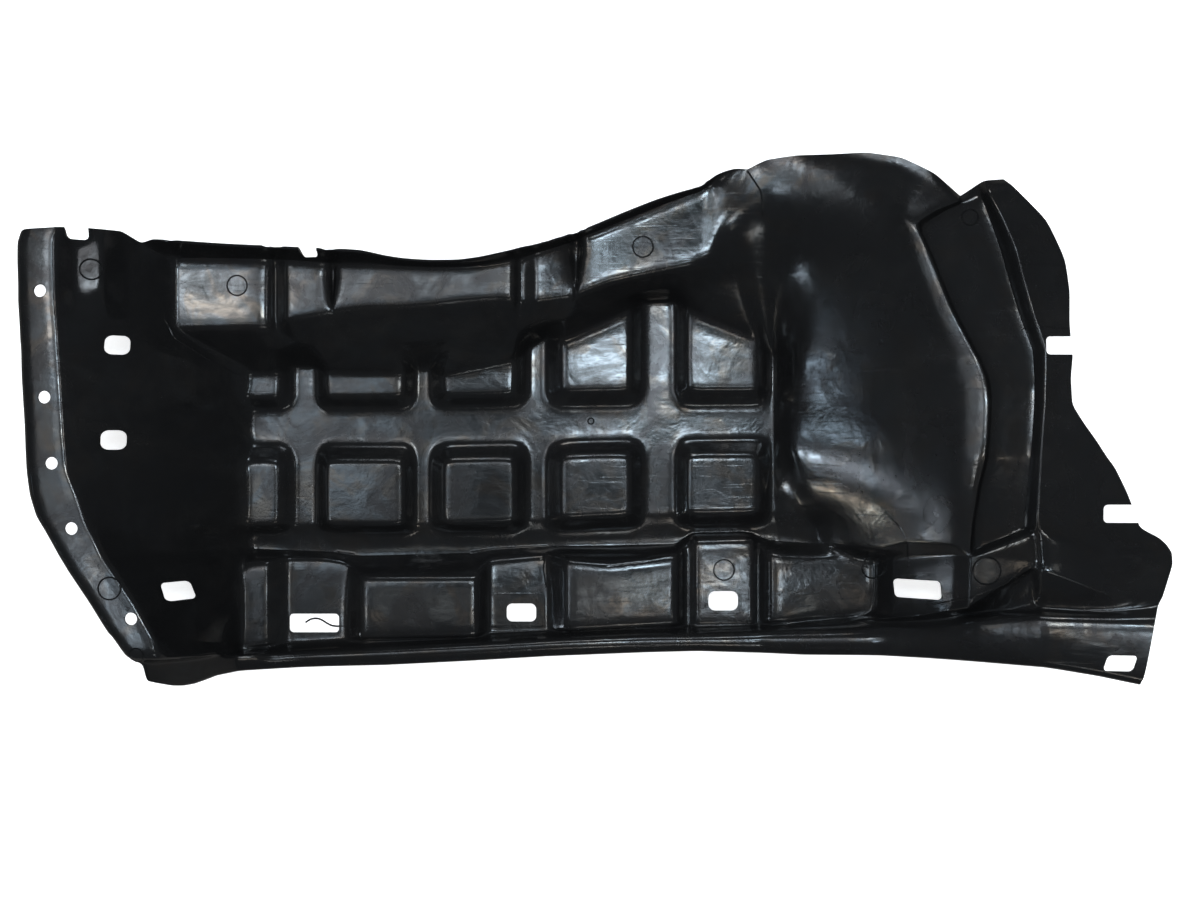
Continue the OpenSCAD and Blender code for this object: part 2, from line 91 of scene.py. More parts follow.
class LinerFinish(bpy.types.PropertyGroup):
    """Colour and gloss of the plastic."""

    plastic: paint("Plastic", "Colour of the black plastic", (0.0060, 0.0062, 0.0066))
    roughness: fraction("Roughness", "Roughness of the moulded skin", 0.14)
    grain: fraction("Grain", "Strength of the fine moulded grain", 0.35)
    dust: fraction("Dust", "How much dust and scuffing lies on the skin", 0.35)


class LinerStudio(bpy.types.PropertyGroup):
    """Floor and camera."""

    floor_tint: paint("Floor", "Colour of the studio floor", (0.88, 0.89, 0.90))
    camera_height: distance("Camera height", "Height of the camera above the long groove", 1.4)
    lens: bpy.props.FloatProperty(
        name="Lens", description="Focal length of the camera",
        default=56.0, min=20.0, unit="CAMERA")


# Lines of the liner

# Rows: y of each lengthwise line at x.
TOP_EDGE = [(-399, 147), (-396.5, 149), (-391, 151), (-377.5, 151.5), (-365, 152),
    (-352, 153.5), (-333, 153.5), (-329, 147), (-325, 147), (-319, 148.5), (-307, 148),
    (-294, 146), (-255, 144), (-212, 142),
    (-163, 140), (-153, 138.5), (-143, 135.5), (-121, 134.5), (-96, 135), (-85, 137.5),
    (-67, 141.5), (-38, 148), (-10, 157), (18, 169), (46, 180), (75, 189.5), (79, 192),
    (83, 198), (103, 204), (106, 202), (118, 208), (133, 210), (154, 211.5), (172, 209),
    (182, 210), (196, 211.5), (206, 209), (222, 201), (235, 193.5), (248, 182.5), (252, 177.5),
    (261, 184.5), (268, 188), (281, 189)]
LIP_FOOT = [(-399, 142), (-374, 144.5), (-364, 141), (-345, 145), (-334, 144.5), (-323, 142.5),
    (-313, 139.5), (-260, 139), (-240, 139), (-199, 136), (-166, 135.5), (-144, 133.5),
    (-123, 132.5), (-97, 132.5), (-79, 134.5), (-65, 137), (-29, 148.5), (0, 159.5), (29, 171.5),
    (58, 183), (76, 189), (84, 195), (104, 200), (119, 204), (144, 206), (176, 205), (201, 203),
    (222, 193.5), (239, 182.5), (251, 172.5), (266, 178), (279, 184)]
BAND_LOW = [(-399, 102), (-364, 96), (-338, 92), (-312, 89.5), (-307, 87.5), (-240, 88.5),
    (-235, 90.5), (-227, 94), (-199, 98), (-189, 102.5), (-184, 103.5), (-130, 104), (-108, 108),
    (-72, 110.5), (-58, 108.5), (-45, 108), (-29, 110), (-14, 113.5), (5, 121), (38, 128),
    (66, 134), (88, 145), (106, 158), (122, 168), (144, 172), (176, 168), (205, 152),
    (222, 141), (232, 137), (277, 124.5), (321, 109.5)]
WALL_FOOT = [(-399, 71), (-364, 64.5), (-337, 62), (-305, 59), (-267, 56.5), (-237, 57),
    (-224, 58.5), (-204, 57), (-148, 56.5), (-115, 55.5), (-89, 59.5), (-62, 66), (-52, 73),
    (-40, 79.5), (-27, 80), (0, 92), (23, 102.5), (33, 106), (55, 107), (66, 102.5), (113, 84.5),
    (120, 77), (138, 73.5), (172, 70), (220, 67.5), (265, 63), (302, 65.5), (323, 66)]
PAD_A_LOW = [(-399, 42), (-267, 38), (-148, 39.5), (-59, 41.5), (0, 44), (119, 44), (330, 42)]
CHAN_TOP = [(-399, 33), (-269, 30.5), (-149, 31.5), (-60, 33), (0, 33.5), (119, 34.5), (330, 31)]
CHAN_LOW = [(-399, 2), (-269, 3.5), (-149, 3), (-60, 4.5), (0, 6.5), (130, 8), (340, 6)]
PAD_B_TOP = [(-399, -9), (-267, -7.5), (-148, -7.5), (-59, -6), (0, -3.5), (119, -3), (350, -5)]
PAD_B_LOW = [(-399, -52), (-267, -56.5), (-148, -56.5), (-59, -54), (0, -49.5), (119, -47),
    (210, -48), (280, -49), (300, -44), (320, -46), (345, -52), (375, -54)]
GROOVE_TOP = [(-399, -58), (-270, -62), (-150, -62), (-60, -61), (30, -58), (120, -55.5),
    (212, -55), (262, -57), (288, -54), (300, -49), (318, -51), (345, -61), (390, -60.5)]
GROOVE_LOW = [(-399, -72), (-270, -73.5), (-237, -75), (-192, -77), (-180, -79.5), (-92, -77),
    (-84, -74), (-41, -72), (-25, -72), (58, -70.5), (67, -62), (112, -61), (127, -68),
    (202, -72), (214, -66), (255, -66), (262, -71), (279, -72), (284, -66), (290, -59),
    (300, -53), (318, -55.5), (345, -68), (393, -65)]
STRIP_TOP = [(-399, -84), (-267, -83.5), (-241, -82), (-235, -80.5), (-192, -80.5),
    (-184, -90.5), (-177, -94), (-91, -94), (-83, -83.5), (-41, -79), (-25, -81), (8, -84),
    (57, -77.5), (67, -67),
    (111, -65.5), (125, -75.5), (147, -78.5), (202, -81), (213, -77), (247, -73), (258, -74.5),
    (280, -75), (285, -70), (291, -64), (300, -57), (318, -60), (345, -75), (394, -70.5)]
STRIP_MID = [(-399, -104), (-309, -104), (-267, -108), (-235, -111.5), (-190, -111.5),
    (-177, -110.5), (-91, -110.5), (-83, -109.5), (-41, -108), (-25, -107), (57, -103.5),
    (70, -99), (111, -99), (125, -103.5), (202, -99.5), (213, -90), (247, -77.5), (258, -75),
    (303, -77), (345, -82), (394, -79)]
STRIP_LOW = [(-399, -125), (-309, -125), (-286, -135), (-273, -138), (-267, -143), (-235, -141.5),
    (-177, -137.5), (-91, -136), (-83, -132.5), (-41, -131.5), (-25, -132), (57, -127.5),
    (70, -127), (111, -127), (125, -125.5), (202, -121), (211, -119.5), (222, -117),
    (238, -114.5), (261, -106.5), (272, -101), (291, -88.5), (303, -80), (321, -87), (347, -97),
    (386, -101.5)]
RAIL_FOOT = [(-340, -141), (-311, -141), (-287, -144.5), (-266, -147.5), (-223, -145.5),
    (-148, -142), (-89, -139), (-29, -135), (37, -131.5), (67, -132.5), (119, -130.5),
    (201, -125), (245, -120.5), (283, -112), (308, -110), (361, -112), (385, -108)]
RIDGE_ONE = [(-320, -147), (-309, -147), (-262, -150), (-220, -148), (-147, -144.5),
    (-88, -141.5), (-29, -138), (36, -135.5), (66, -135), (110, -133.5), (199, -129),
    (243, -124), (280, -116), (297, -114.5), (313, -116), (359, -117), (383, -118)]
RIDGE_TWO = [(-320, -152.5), (-309, -153), (-295, -155), (-281, -156), (-262, -156),
    (-147, -151.5), (-29, -145.5), (51, -143.5), (110, -144), (199, -143.5), (244, -143.5),
    (300, -146), (349, -153), (377, -157)]
LOW_EDGE = [(-320, -157), (-314, -158.5), (-308, -161.5), (-300, -165), (-292, -166.5),
    (-284, -164.5), (-279, -162.5), (-260, -161.5), (-202, -159.5), (-158, -158.5),
    (-99, -155.5), (-40, -152), (33, -149), (73, -148), (107, -149), (151, -150), (208, -149),
    (241, -149), (273, -149.5), (298, -149.5), (324, -152.5), (350, -156.5), (375, -161.5)]
# How far the wall's middle row lies from the band to the wall's foot, at x.
WALL_SHARE = [(70, 0.5), (100, 0.35), (150, 0.35), (200, 0.5)]

# Columns of the middle: x where they cross the band, the floor and the strip.
BAND_X = [-307, -302, -271, -240, -236, -231, -227, -217, -198, -194, -189, -170, -144, -123,
    -101, -87, -72, -63, -58, -50, -46, -36, -25, -19, -16, -11, 5, 18, 30, 40, 50, 58, 66, 74,
    82, 90, 98, 106]
FLOOR_X = [-264, -260, -246, -238, -229, -220, -211, -204, -197, -189, -154, -146, -138, -133,
    -127, -116, -109, -70, -63, -54, -47, -40, -29, -21, -3, 15, 23, 32, 44, 56, 60.5, 65, 73,
    92, 111, 119, 127, 130]
STRIP_X = [-266, -262, -250, -245, -234, -222, -205, -190, -186, -177, -159, -144, -133, -122,
    -111, -100, -91, -83, -74, -63, -52, -40, -35, -25, -7, 8, 22, 37, 50, 57, 64, 71, 76, 110,
    114, 118, 125, 137]
# How high each column stands on the floor, which columns are a pad's side (-1 left, 1 right)
# or the foot of that side, and how the band and the strip step.
FLOOR_UP = ([1] * 4 + [0] * 3 + [1] * 5 + [0] * 3 + [1] * 4 + [0] * 3 + [1] * 5 + [0] * 3
            + [0.5] + [1] * 5 + [0] * 2)
PAD_SIDE = {3: 1, 7: -1, 11: 1, 15: -1, 18: 1, 22: -1, 26: 1, 31: -1, 35: 1}
PAD_FOOT = {4: 1, 6: -1, 12: 1, 14: -1, 19: 1, 21: -1, 27: 1, 29: -1, 36: 1}
CHANNEL_DIP = {4: 1, 5: 0.55, 18: 1, 19: 0.55, 20: 0.3, 21: 0.45, 22: 0.65}
WALL_DROP = {34: -3, 35: -2, 36: 7, 37: 16}
GROOVE_DIP = {9: 1, 23: 1.4, 24: 1.4}
GROOVE_SIDE = {8: -194, 10: -194, 22: -17.5, 23: -17.5, 24: -17.5, 25: -17.5}
STRIP_UP = ([0.8] * 4 + [-0.2] * 4 + [0] + [1] * 8 + [0] * 5 + [0.2] + [1] * 7 + [-0.2]
            + [0.35] * 4 + [-0.2] + [1] * 2)

# Front edge, bend and rear lines, row by row.
FRONT_X = [-395.5, -398, -398, -397.5, -397.5, -396.5, -396, -395.5, -395, -394.5, -394, -393,
    -392.5, -392, -391.5, -389.5, -385, -380.5, -377, -369.5, -362.5, -349, -336, -333, -324,
    -314, -313, -312.5, -311.5, -311.5]
BEND_X = [-373.5, -373.5, -373.5, -373, -372.5, -371, -370.5, -370, -369, -368.5, -368, -367,
    -366, -365, -363.5, -357.5, -352.5, -349.5, -346, -340, -332.5, -319, -306.5, -305, -303,
    -309, -309, -309, -308, -308]
# The dome: where it leaves the floor, the top of its steep foot, and that top's height.
VALLEY_X = [106, 107, 110, 115, 120, 128] + [130] * 9 + [132, 136, 141, 148, 153] + [137] * 10
FOOT_X = [120, 121, 124, 129, 136, 145, 146, 145, 145, 145, 144.5, 142, 140.5, 143, 146, 152,
    160, 165, 170, 173]
FOOT_TOP = [57, 57, 57, 56, 54, 45, 38, 37, 34, 33, 31, 29, 27, 27, 27, 27, 26, 25, 24, 22]
CREST_X = [251.5, 251.5, 236, 220, 229, 243.5, 259, 262, 267, 268, 269, 268.3, 267.5, 266.4,
    265, 261.8, 260, 259, 258.5, 258, 257.5, 257, 257, 257, 262, 264, 266, 268, 268, 268]
BEND2_X = [267, 268, 276.5, 286, 290.5, 298, 305, 305, 305, 304.7, 304.5, 303.5, 302.7, 302,
    301.7, 301, 300.5, 300, 300, 300, 301, 303, 303, 305, 308, 310, 312, 314, 314, 314]
REAR_X = [281.5, 286, 309.5, 321.5, 324, 323.5, 324.5, 325.5, 324, 324.5, 325, 333, 342, 349,
    354.5, 363, 370, 372, 386, 391, 394, 395, 388.5, 387, 384.5, 380.5, 374, 372, 372, 372]
STRIP_RISE_X = [160, 185, 203, 212, 225, 238, 249]
STRIP_RISE_Z = [22, 22, 22, 52, 66, 79, 89]

# Heights that many rows share: at x for the lip and the rail's foot, at y for the others.
LIP_RISE = [(-374, 0), (-364, 5), (-333, 6), (-329, 1), (-325, 1), (-318, 16), (-300, 27),
    (-160, 27), (-143, 15), (40, 15), (90, 6), (110, 0), (155, 0), (170, -2.2), (182, -3),
    (300, -3)]
CREST_Z = [(-170, -14), (-110, -12), (-73, -10), (-40, -3), (0, 4), (40, 3.5), (100, -3),
    (150, -8), (180, -10)]
FOOT_Z = [(-312, 100), (-287, 60), (-266, 20), (-223, 10), (119, 12), (201, 30), (245, 55),
    (283, 80), (308, 92), (361, 108), (385, 113)]
REAR_Z = [(-170, -10), (-115, -8), (-80, -6), (-50, -2), (0, 0), (70, 0), (110, -3), (160, -8),
    (190, -12)]

# How far the columns lie along the front panel, the dome's foot, the dome and the rail's rise.
PANEL_PART = [0.12, 0.25, 0.4, 0.55, 0.7, 0.85]
FOOT_PART = [0.5, 1]
RISE_PART = [0.15, 0.33, 0.52, 0.7, 0.87]
RAIL_PART = [0.1, 0.24, 0.39, 0.52, 0.62, 0.76, 0.89]

# Rows, from the inboard edge to the outboard one.
EDGE, LIP, BAND_END, WALL, KERB, FLOOR, UPPER_END = 0, 1, 4, 5, 6, 7, 9
CHANNEL, CHANNEL_END, LOWER, LOWER_END, GROOVE, GROOVE_BED = 10, 12, 13, 17, 18, 19
STRIP, STRIP_END, APRON, RAIL, RIDGE, RIDGE_END, LOW = 20, 22, 23, 24, 25, 26, 28
ROWS = LOW + 2
# Columns, from the front: flange, panel, middle, dome and rear.
N_FLANGE = 4
N_FRONT = N_FLANGE + len(PANEL_PART)
N_RISE = N_FRONT + len(FLOOR_X)
N_CREST = N_RISE + len(RAIL_PART)
COLS = N_CREST + 7

# Widths of the narrow faces beside the creases.
RIM_WIDTH, BEND_WIDTH, CREST_WIDTH, REAR_BEND_WIDTH = 3.4, 3.5, 2.5, 4
# The flange's drop at the rim, on its face and at the bend.
RIM_DROP, FACE_DROP, BEND_DROP = 5.0, 0.5, 3
# The band: y of its rows as shares, depth of its grooves, how much of it each row takes, and
# how far a groove's sides are drawn in.
BAND_PART = (0.0, 0.35, 0.7, 1.0)
BAND_GROOVE = 7.0
CHANNEL_RUN, GROOVE_TAPER = (0, 0.8, 1, 1, 1), (0, 0.9, 1, 0.8, 0)
GROOVE_LEAN_IN = (0.25, 0.6, 0.75)
# The small pad on the front panel: where its level lies, how level it is and its rise.
SMALL_PAD_FOOT, SMALL_PAD_PART, SMALL_PAD_SHARE, SMALL_PAD_RISE = 50, 0.25, 0.6, 2
# Floor, groove and strip.
WALL_PART, KERB_RISE, CHANNEL_LIFT, GROOVE_SLOPE = 0.48, 5, 4.0, 1.6
BLOCK_RISE, SEAT_RISE, SEAT_DIP, APRON_PART = 22.0, 11.0, -2, 0.25
# The rail's rows above its foot, and how it flattens towards the rear.
RAIL_STEPS = (19.0, 17.0, 14.0, 13.0, 5.0)
RAIL_FLATTENS, RAIL_FLAT_RUN, RAIL_FLAT = 240, 120, 0.45
# The dome and the rear.
DOME_WALL, FOOT_CLIMB, DOME_BULGE = 16.7, (0.45, 1), 1.2
STRIP_SAG, SAG_NEAR = (0, 0, 3, 8), 0.4
JOGGLE, REAR_HEIGHT, REAR_EDGE, REAR_STRIP, CREST_STEP = 9.0, 116.0, -6, 3, 2
# The band's end rises slowly into the dome: millimetres by column, and the share of a row.
DOME_EASE = {N_RISE - 4: 0.6, N_RISE - 3: 1.8, N_RISE - 2: 3.6, N_RISE - 1: 5.6, N_RISE: 5.4,
             N_RISE + 1: 4.4, N_RISE + 2: 2.4, N_RISE + 3: 1.0}
EASE_SHARE = (1, 1, 1, 1, 1, 0.6, 0.25)
# Pads and their feet have their corners drawn in: by how much in x, and in y at each end.
PAD_CORNER, FOOT_CORNER = (1.4, 1.4), (1.2, 1)
# Inner corners with hardly any rounding: the groove's, the dome's foot and the second bend.
CRISP_ROWS = (GROOVE_BED,)
CRISP_COLUMNS = (N_RISE - 1, N_CREST + 2)
CRISP_SHARE, WIDEST_FILLET = 0.25, 0.3
# Soft stretches: first and last row, first and last column, and how far they are smoothed.
SOFT = [
    (LIP + 1, GROOVE, N_RISE + 2, N_CREST - 2, 1.0), (LIP + 1, BAND_END, N_RISE, N_CREST - 2, 0.8),
    (WALL, GROOVE, N_FLANGE, N_FLANGE + 3, 0.6), (WALL, STRIP_END, N_FRONT - 1, N_FRONT, 0.35),
    (LIP, KERB, N_RISE - 3, N_RISE + 2, 0.8), (RAIL, RIDGE_END, N_FRONT + 3, N_CREST - 1, 0.3)]
# Rounds of smoothing, how far each goes, and the longest face between two creases.
SMOOTH_ROUNDS, SMOOTH_PACE = 24, 0.7
LONGEST_FACE = 13.0


def mix(a, b, t):
    return a + (b - a) * t


def along(line, x):
    """Value of a line at x, held level past its ends."""
    return float(np.interp(x, [p[0] for p in line], [p[1] for p in line]))


# Lines that the lower rows follow, and how far beside its line each row lies.
ROW_LINES = {
    KERB: (WALL_FOOT, 4.5), FLOOR: (WALL_FOOT, 0), UPPER_END - 1: (PAD_A_LOW, 7),
    UPPER_END: (PAD_A_LOW, 0), CHANNEL: (CHAN_TOP, 0), CHANNEL_END: (CHAN_LOW, 0),
    LOWER: (PAD_B_TOP, 0), LOWER + 1: (PAD_B_TOP, -7), LOWER_END - 1: (PAD_B_LOW, 7),
    LOWER_END: (PAD_B_LOW, 0), GROOVE: (GROOVE_TOP, 0), GROOVE_BED: (GROOVE_LOW, 0),
    STRIP: (STRIP_TOP, 0), STRIP + 1: (STRIP_MID, 0), STRIP_END: (STRIP_LOW, 0),
    APRON: (STRIP_LOW, -2.5), RAIL: (RAIL_FOOT, 0), RIDGE: (RIDGE_ONE, 0),
    RIDGE_END: (RIDGE_TWO, 0), LOW - 1: (LOW_EDGE, 1.5), LOW: (LOW_EDGE, 0),
    LOW + 1: (LOW_EDGE, -1)}
# Rows halfway between two lines.
HALFWAY = {CHANNEL + 1: (CHAN_TOP, CHAN_LOW), LOWER + 2: (PAD_B_TOP, PAD_B_LOW)}


def row_y(j, x):
    """y of row j where it passes x."""
    if j == EDGE:
        return along(TOP_EDGE, x)
    if j <= BAND_END:
        return mix(along(LIP_FOOT, x), along(BAND_LOW, x), BAND_PART[j - LIP])
    if j == WALL:
        return mix(along(BAND_LOW, x), along(WALL_FOOT, x), along(WALL_SHARE, x))
    if j in HALFWAY:
        above, below = HALFWAY[j]
        return mix(along(above, x), along(below, x), 0.5)
    line, beside = ROW_LINES[j]
    return along(line, x) + beside


def middle_x(j, k):
    """x of middle column k, which crosses the band, the floor and the strip."""
    to_floor = {WALL: 0.5}.get(j, 0.0 if j < WALL else 1.0)
    to_strip = {GROOVE: 0.35, GROOVE_BED: 0.7}.get(j, 0.0 if j < GROOVE else 1.0)
    return mix(mix(BAND_X[k], FLOOR_X[k], to_floor), STRIP_X[k], to_strip)


def column_x(j, i):
    """x of column i on row j."""
    front, bend, crest = FRONT_X[j], BEND_X[j], CREST_X[j]
    bend2, rear = BEND2_X[j], REAR_X[j]
    if i < N_FLANGE:
        rim = front + min(RIM_WIDTH, (bend - front) * 0.4)
        return (front, rim, bend, bend + BEND_WIDTH)[i]
    if i < N_FRONT:
        return mix(bend + BEND_WIDTH, middle_x(j, 0), PANEL_PART[i - N_FLANGE])
    if i < N_RISE:
        k = i - N_FRONT
        x = middle_x(j, k)
        if k in GROOVE_SIDE and LIP < j <= BAND_END:
            x = mix(x, GROOVE_SIDE[k], GROOVE_LEAN_IN[j - LIP - 1])
        return x
    if i < N_CREST:
        n = i - N_RISE
        if j > STRIP_END:
            return mix(VALLEY_X[j], crest, RAIL_PART[n])
        if j >= STRIP:
            return STRIP_RISE_X[n]
        if n < len(FOOT_PART):
            return mix(VALLEY_X[j], FOOT_X[j], FOOT_PART[n])
        return mix(FOOT_X[j], crest, RISE_PART[n - len(FOOT_PART)])
    edge, bend_end = crest + CREST_WIDTH, bend2 + REAR_BEND_WIDTH
    return (crest, edge, mix(edge, bend2, 0.9), bend2, bend_end, mix(bend_end, rear, 0.5),
            rear)[i - N_CREST]


class Heights:
    """Heights of the forms, from the sizes that the user sets."""

    def __init__(self, shape):
        self.flange = shape.flange_height / MM
        self.band = shape.band_height / MM
        self.crest = shape.crest_height / MM
        self.pad = shape.pad_rise / MM

    def floor(self, k):
        return CHANNEL_LIFT + self.pad * FLOOR_UP[k]

    def band_dip(self, j, k):
        """Depth of the channels, which run off the band's edge, and of the tapered grooves."""
        return BAND_GROOVE * (CHANNEL_DIP.get(k, 0) * CHANNEL_RUN[j]
                              + GROOVE_DIP.get(k, 0) * GROOVE_TAPER[j])

    def strip(self, j, k):
        up = STRIP_UP[k]
        dip = SEAT_DIP if j == STRIP and up == 0 else 0
        return SEAT_RISE + (BLOCK_RISE - SEAT_RISE) * up + dip

    def rail(self, j, x):
        """The rail, or its foot, which is flatter towards the rear."""
        if j == RAIL:
            return along(FOOT_Z, x)
        flatter = 1
        if x > RAIL_FLATTENS:
            flatter = mix(1, RAIL_FLAT, min(1, (x - RAIL_FLATTENS) / RAIL_FLAT_RUN))
        return along(FOOT_Z, x) + RAIL_STEPS[j - RIDGE] * flatter

    def middle(self, j, k, x):
        if j <= BAND_END:
            lip = along(LIP_RISE, x) if j == EDGE else 0
            return self.band - self.band_dip(j, k) + lip
        if j == WALL:
            return mix(self.band, CHANNEL_LIFT + self.pad, WALL_PART) - WALL_DROP.get(k, 0)
        if j == KERB:
            return mix(CHANNEL_LIFT, CHANNEL_LIFT + self.pad + KERB_RISE, FLOOR_UP[k])
        if j <= UPPER_END or LOWER <= j <= LOWER_END:
            return self.floor(k)
        if j <= CHANNEL_END:
            return CHANNEL_LIFT
        if j <= GROOVE_BED:
            return GROOVE_SLOPE if j == GROOVE else 0.0
        if j <= STRIP_END:
            return self.strip(j, k)
        if j == APRON:
            return mix(self.strip(j, k), along(FOOT_Z, x), APRON_PART)
        return self.rail(j, x)

    def crest_at(self, y):
        return self.crest + along(CREST_Z, y)

    def rise(self, j, n, x, y):
        """Column n of the dome, or of the rise behind the strip."""
        if j >= RAIL:
            return self.rail(j, x)
        if j >= STRIP:
            return STRIP_RISE_Z[n] - STRIP_SAG[j - STRIP] * (1 if n > 2 else SAG_NEAR)
        if n < len(FOOT_PART):
            base = (self.band if j < WALL else DOME_WALL if j == WALL
                    else CHANNEL_LIFT if j < GROOVE else 0)
            return mix(base, FOOT_TOP[j], FOOT_CLIMB[n])
        climb = 1 - (1 - RISE_PART[n - len(FOOT_PART)]) ** DOME_BULGE
        lip = along(LIP_RISE, x) if j == EDGE else 0
        return mix(FOOT_TOP[j], self.crest_at(y), climb) + lip

    def rear(self, j, c, x, y):
        """Column c behind the crest."""
        crest, far = self.crest_at(y), REAR_HEIGHT + along(REAR_Z, y)
        if j >= RAIL:
            return self.rail(j, x)
        if STRIP <= j <= STRIP_END and c <= 3:
            return crest + c * CREST_STEP
        lift = REAR_EDGE if j == EDGE else REAR_STRIP if j >= STRIP else 0
        low = crest - JOGGLE
        return lift + (crest, low, mix(low, far, 0.1), far + 0.5, far, far - 0.5, far - 0.5)[c]

    def front(self, j, i, x):
        """Column i of the flange and of the panel below it."""
        if j > RAIL:
            return self.rail(j, x)
        if i < N_FLANGE - 1:
            return self.flange - (RIM_DROP if i == 0 else FACE_DROP)
        top = self.flange - BEND_DROP
        if i < N_FLANGE:
            return top + (BEND_DROP if j == EDGE else 0)
        foot = (along(FOOT_Z, x) if j == RAIL else self.band if j < WALL
                else self.middle(j, 0, column_x(j, N_FRONT)))
        part = PANEL_PART[i - N_FLANGE]
        height = mix(top, foot, part) + (along(LIP_RISE, x) if j == EDGE else 0)
        if i < N_FLANGE + 3 and EDGE < j < BAND_END:
            slack = mix(top, SMALL_PAD_FOOT, SMALL_PAD_PART) - mix(top, SMALL_PAD_FOOT, part)
            height += SMALL_PAD_SHARE * slack + SMALL_PAD_RISE
        return height

    def crossing(self, j, i):
        """Place of the crossing of row j and column i, in millimetres of the plan."""
        x = column_x(j, i)
        y = row_y(j, x)
        ease = DOME_EASE.get(i, 0) * EASE_SHARE[j] if j < len(EASE_SHARE) else 0
        if i < N_FRONT:
            z = self.front(j, i, x)
        elif i < N_RISE:
            k = i - N_FRONT
            z = self.middle(j, k, x)
            if j in (UPPER_END, LOWER, LOWER_END) and k in PAD_SIDE:
                x -= PAD_CORNER[0] * PAD_SIDE[k]
                y += -PAD_CORNER[1] if j == LOWER else PAD_CORNER[1]
            beside_dome = j == GROOVE and k == max(PAD_FOOT)
            if j in (CHANNEL, CHANNEL_END, GROOVE) and k in PAD_FOOT and not beside_dome:
                x -= FOOT_CORNER[0] * PAD_FOOT[k]
                y += -FOOT_CORNER[1] if j == CHANNEL_END else FOOT_CORNER[1]
        elif i < N_CREST:
            z = self.rise(j, i - N_RISE, x, y)
        else:
            z = self.rear(j, i - N_CREST, x, y)
        return x, y, z + ease


def softness(j, i):
    """How far a crossing is smoothed: 1 on the dome, 0 where the creases are crisp."""
    for first_row, last_row, first_column, last_column, share in SOFT:
        if first_row <= j <= last_row and first_column <= i <= last_column:
            return share
    return 0.0


def split_lines(spacing, fillet, crisp):
    """Positions of the finer lines: each crease gets a line on either side of it."""
    lines = [0.0]
    for n, gap in enumerate(spacing):
        near, far = (min(WIDEST_FILLET,
                         fillet * (CRISP_SHARE if line in crisp else 1) / max(gap, 0.1))
                     for line in (n, n + 1))
        inner = [near, 1 - far]
        extra = int((gap * (1 - near - far)) // LONGEST_FACE)
        inner += [mix(near, 1 - far, (m + 1) / (extra + 1)) for m in range(extra)]
        lines += [n + t for t in sorted(inner)]
    return lines + [float(len(spacing))]


def finer(grid, lines, axis):
    """The grid sampled at the finer lines along one axis."""
    low = np.minimum(np.floor(lines).astype(int), grid.shape[axis] - 2)
    part = np.asarray(lines) - low
    shape = [1, 1, 1]
    shape[axis] = len(lines)
    part = part.reshape(shape)
    return np.take(grid, low, axis) * (1 - part) + np.take(grid, low + 1, axis) * part


def liner_cage(shape):
    """Rows by columns of points, in metres of the model's frame."""
    heights = Heights(shape)
    base = np.array([[heights.crossing(j, i) for i in range(COLS)] for j in range(ROWS)])
    soft = np.array([[[softness(j, i)] for i in range(COLS)] for j in range(ROWS)])
    steps_down = np.median(np.linalg.norm(np.diff(base, axis=0), axis=2), axis=1)
    steps_along = np.median(np.linalg.norm(np.diff(base, axis=1), axis=2), axis=0)
    down = split_lines(steps_down, shape.fillet / MM, CRISP_ROWS)
    across = split_lines(steps_along, shape.fillet / MM, CRISP_COLUMNS)
    cage = finer(finer(base, down, 0), across, 1)
    weight = finer(finer(soft, down, 0), across, 1)
    weight[0] = weight[-1] = 0
    weight[:, 0] = weight[:, -1] = 0
    for _ in range(SMOOTH_ROUNDS):
        around = cage.copy()
        around[1:-1, 1:-1] = (cage[:-2, 1:-1] + cage[2:, 1:-1] + cage[1:-1, :-2]
                              + cage[1:-1, 2:]) / 4
        cage = cage + (around - cage) * weight * SMOOTH_PACE
    cage = cage + np.array([SHIFT_X, SHIFT_Y, shape.wall / MM])
    return cage * MM


# Modelling helpers

CREASE_ANGLE = math.radians(38)


def deselect():
    if bpy.context.object and bpy.context.object.mode != "OBJECT":
        bpy.ops.object.mode_set(mode="OBJECT")
    bpy.ops.object.select_all(action="DESELECT")


def pick(piece):
    deselect()
    piece.select_set(True)
    bpy.context.view_layer.objects.active = piece


def apply_all(piece):
    pick(piece)
    for modifier in list(piece.modifiers):
        bpy.ops.object.modifier_apply(modifier=modifier.name)


def settle(piece):
    """Moves the object's place, turn and scale into its mesh."""
    pick(piece)
    bpy.ops.object.transform_apply(location=True, rotation=True, scale=True)


def join(pieces, main):
    deselect()
    for piece in pieces:
        piece.select_set(True)
    main.select_set(True)
    bpy.context.view_layer.objects.active = main
    bpy.ops.object.join()


def shade(piece):
    """Smooth shading, with creases where the faces meet at more than the angle."""
    pick(piece)
    bpy.ops.object.shade_smooth_by_angle(angle=CREASE_ANGLE, keep_sharp_edges=True)


def plan(x, y):
    """A place of the plan in the model's frame."""
    return (x + SHIFT_X) * MM, (y + SHIFT_Y) * MM


def liner_piece():
    piece = bpy.data.objects.get("liner_shell")
    if piece is None:
        raise RuntimeError("The shell has to be modelled first")
    return piece


# The shell

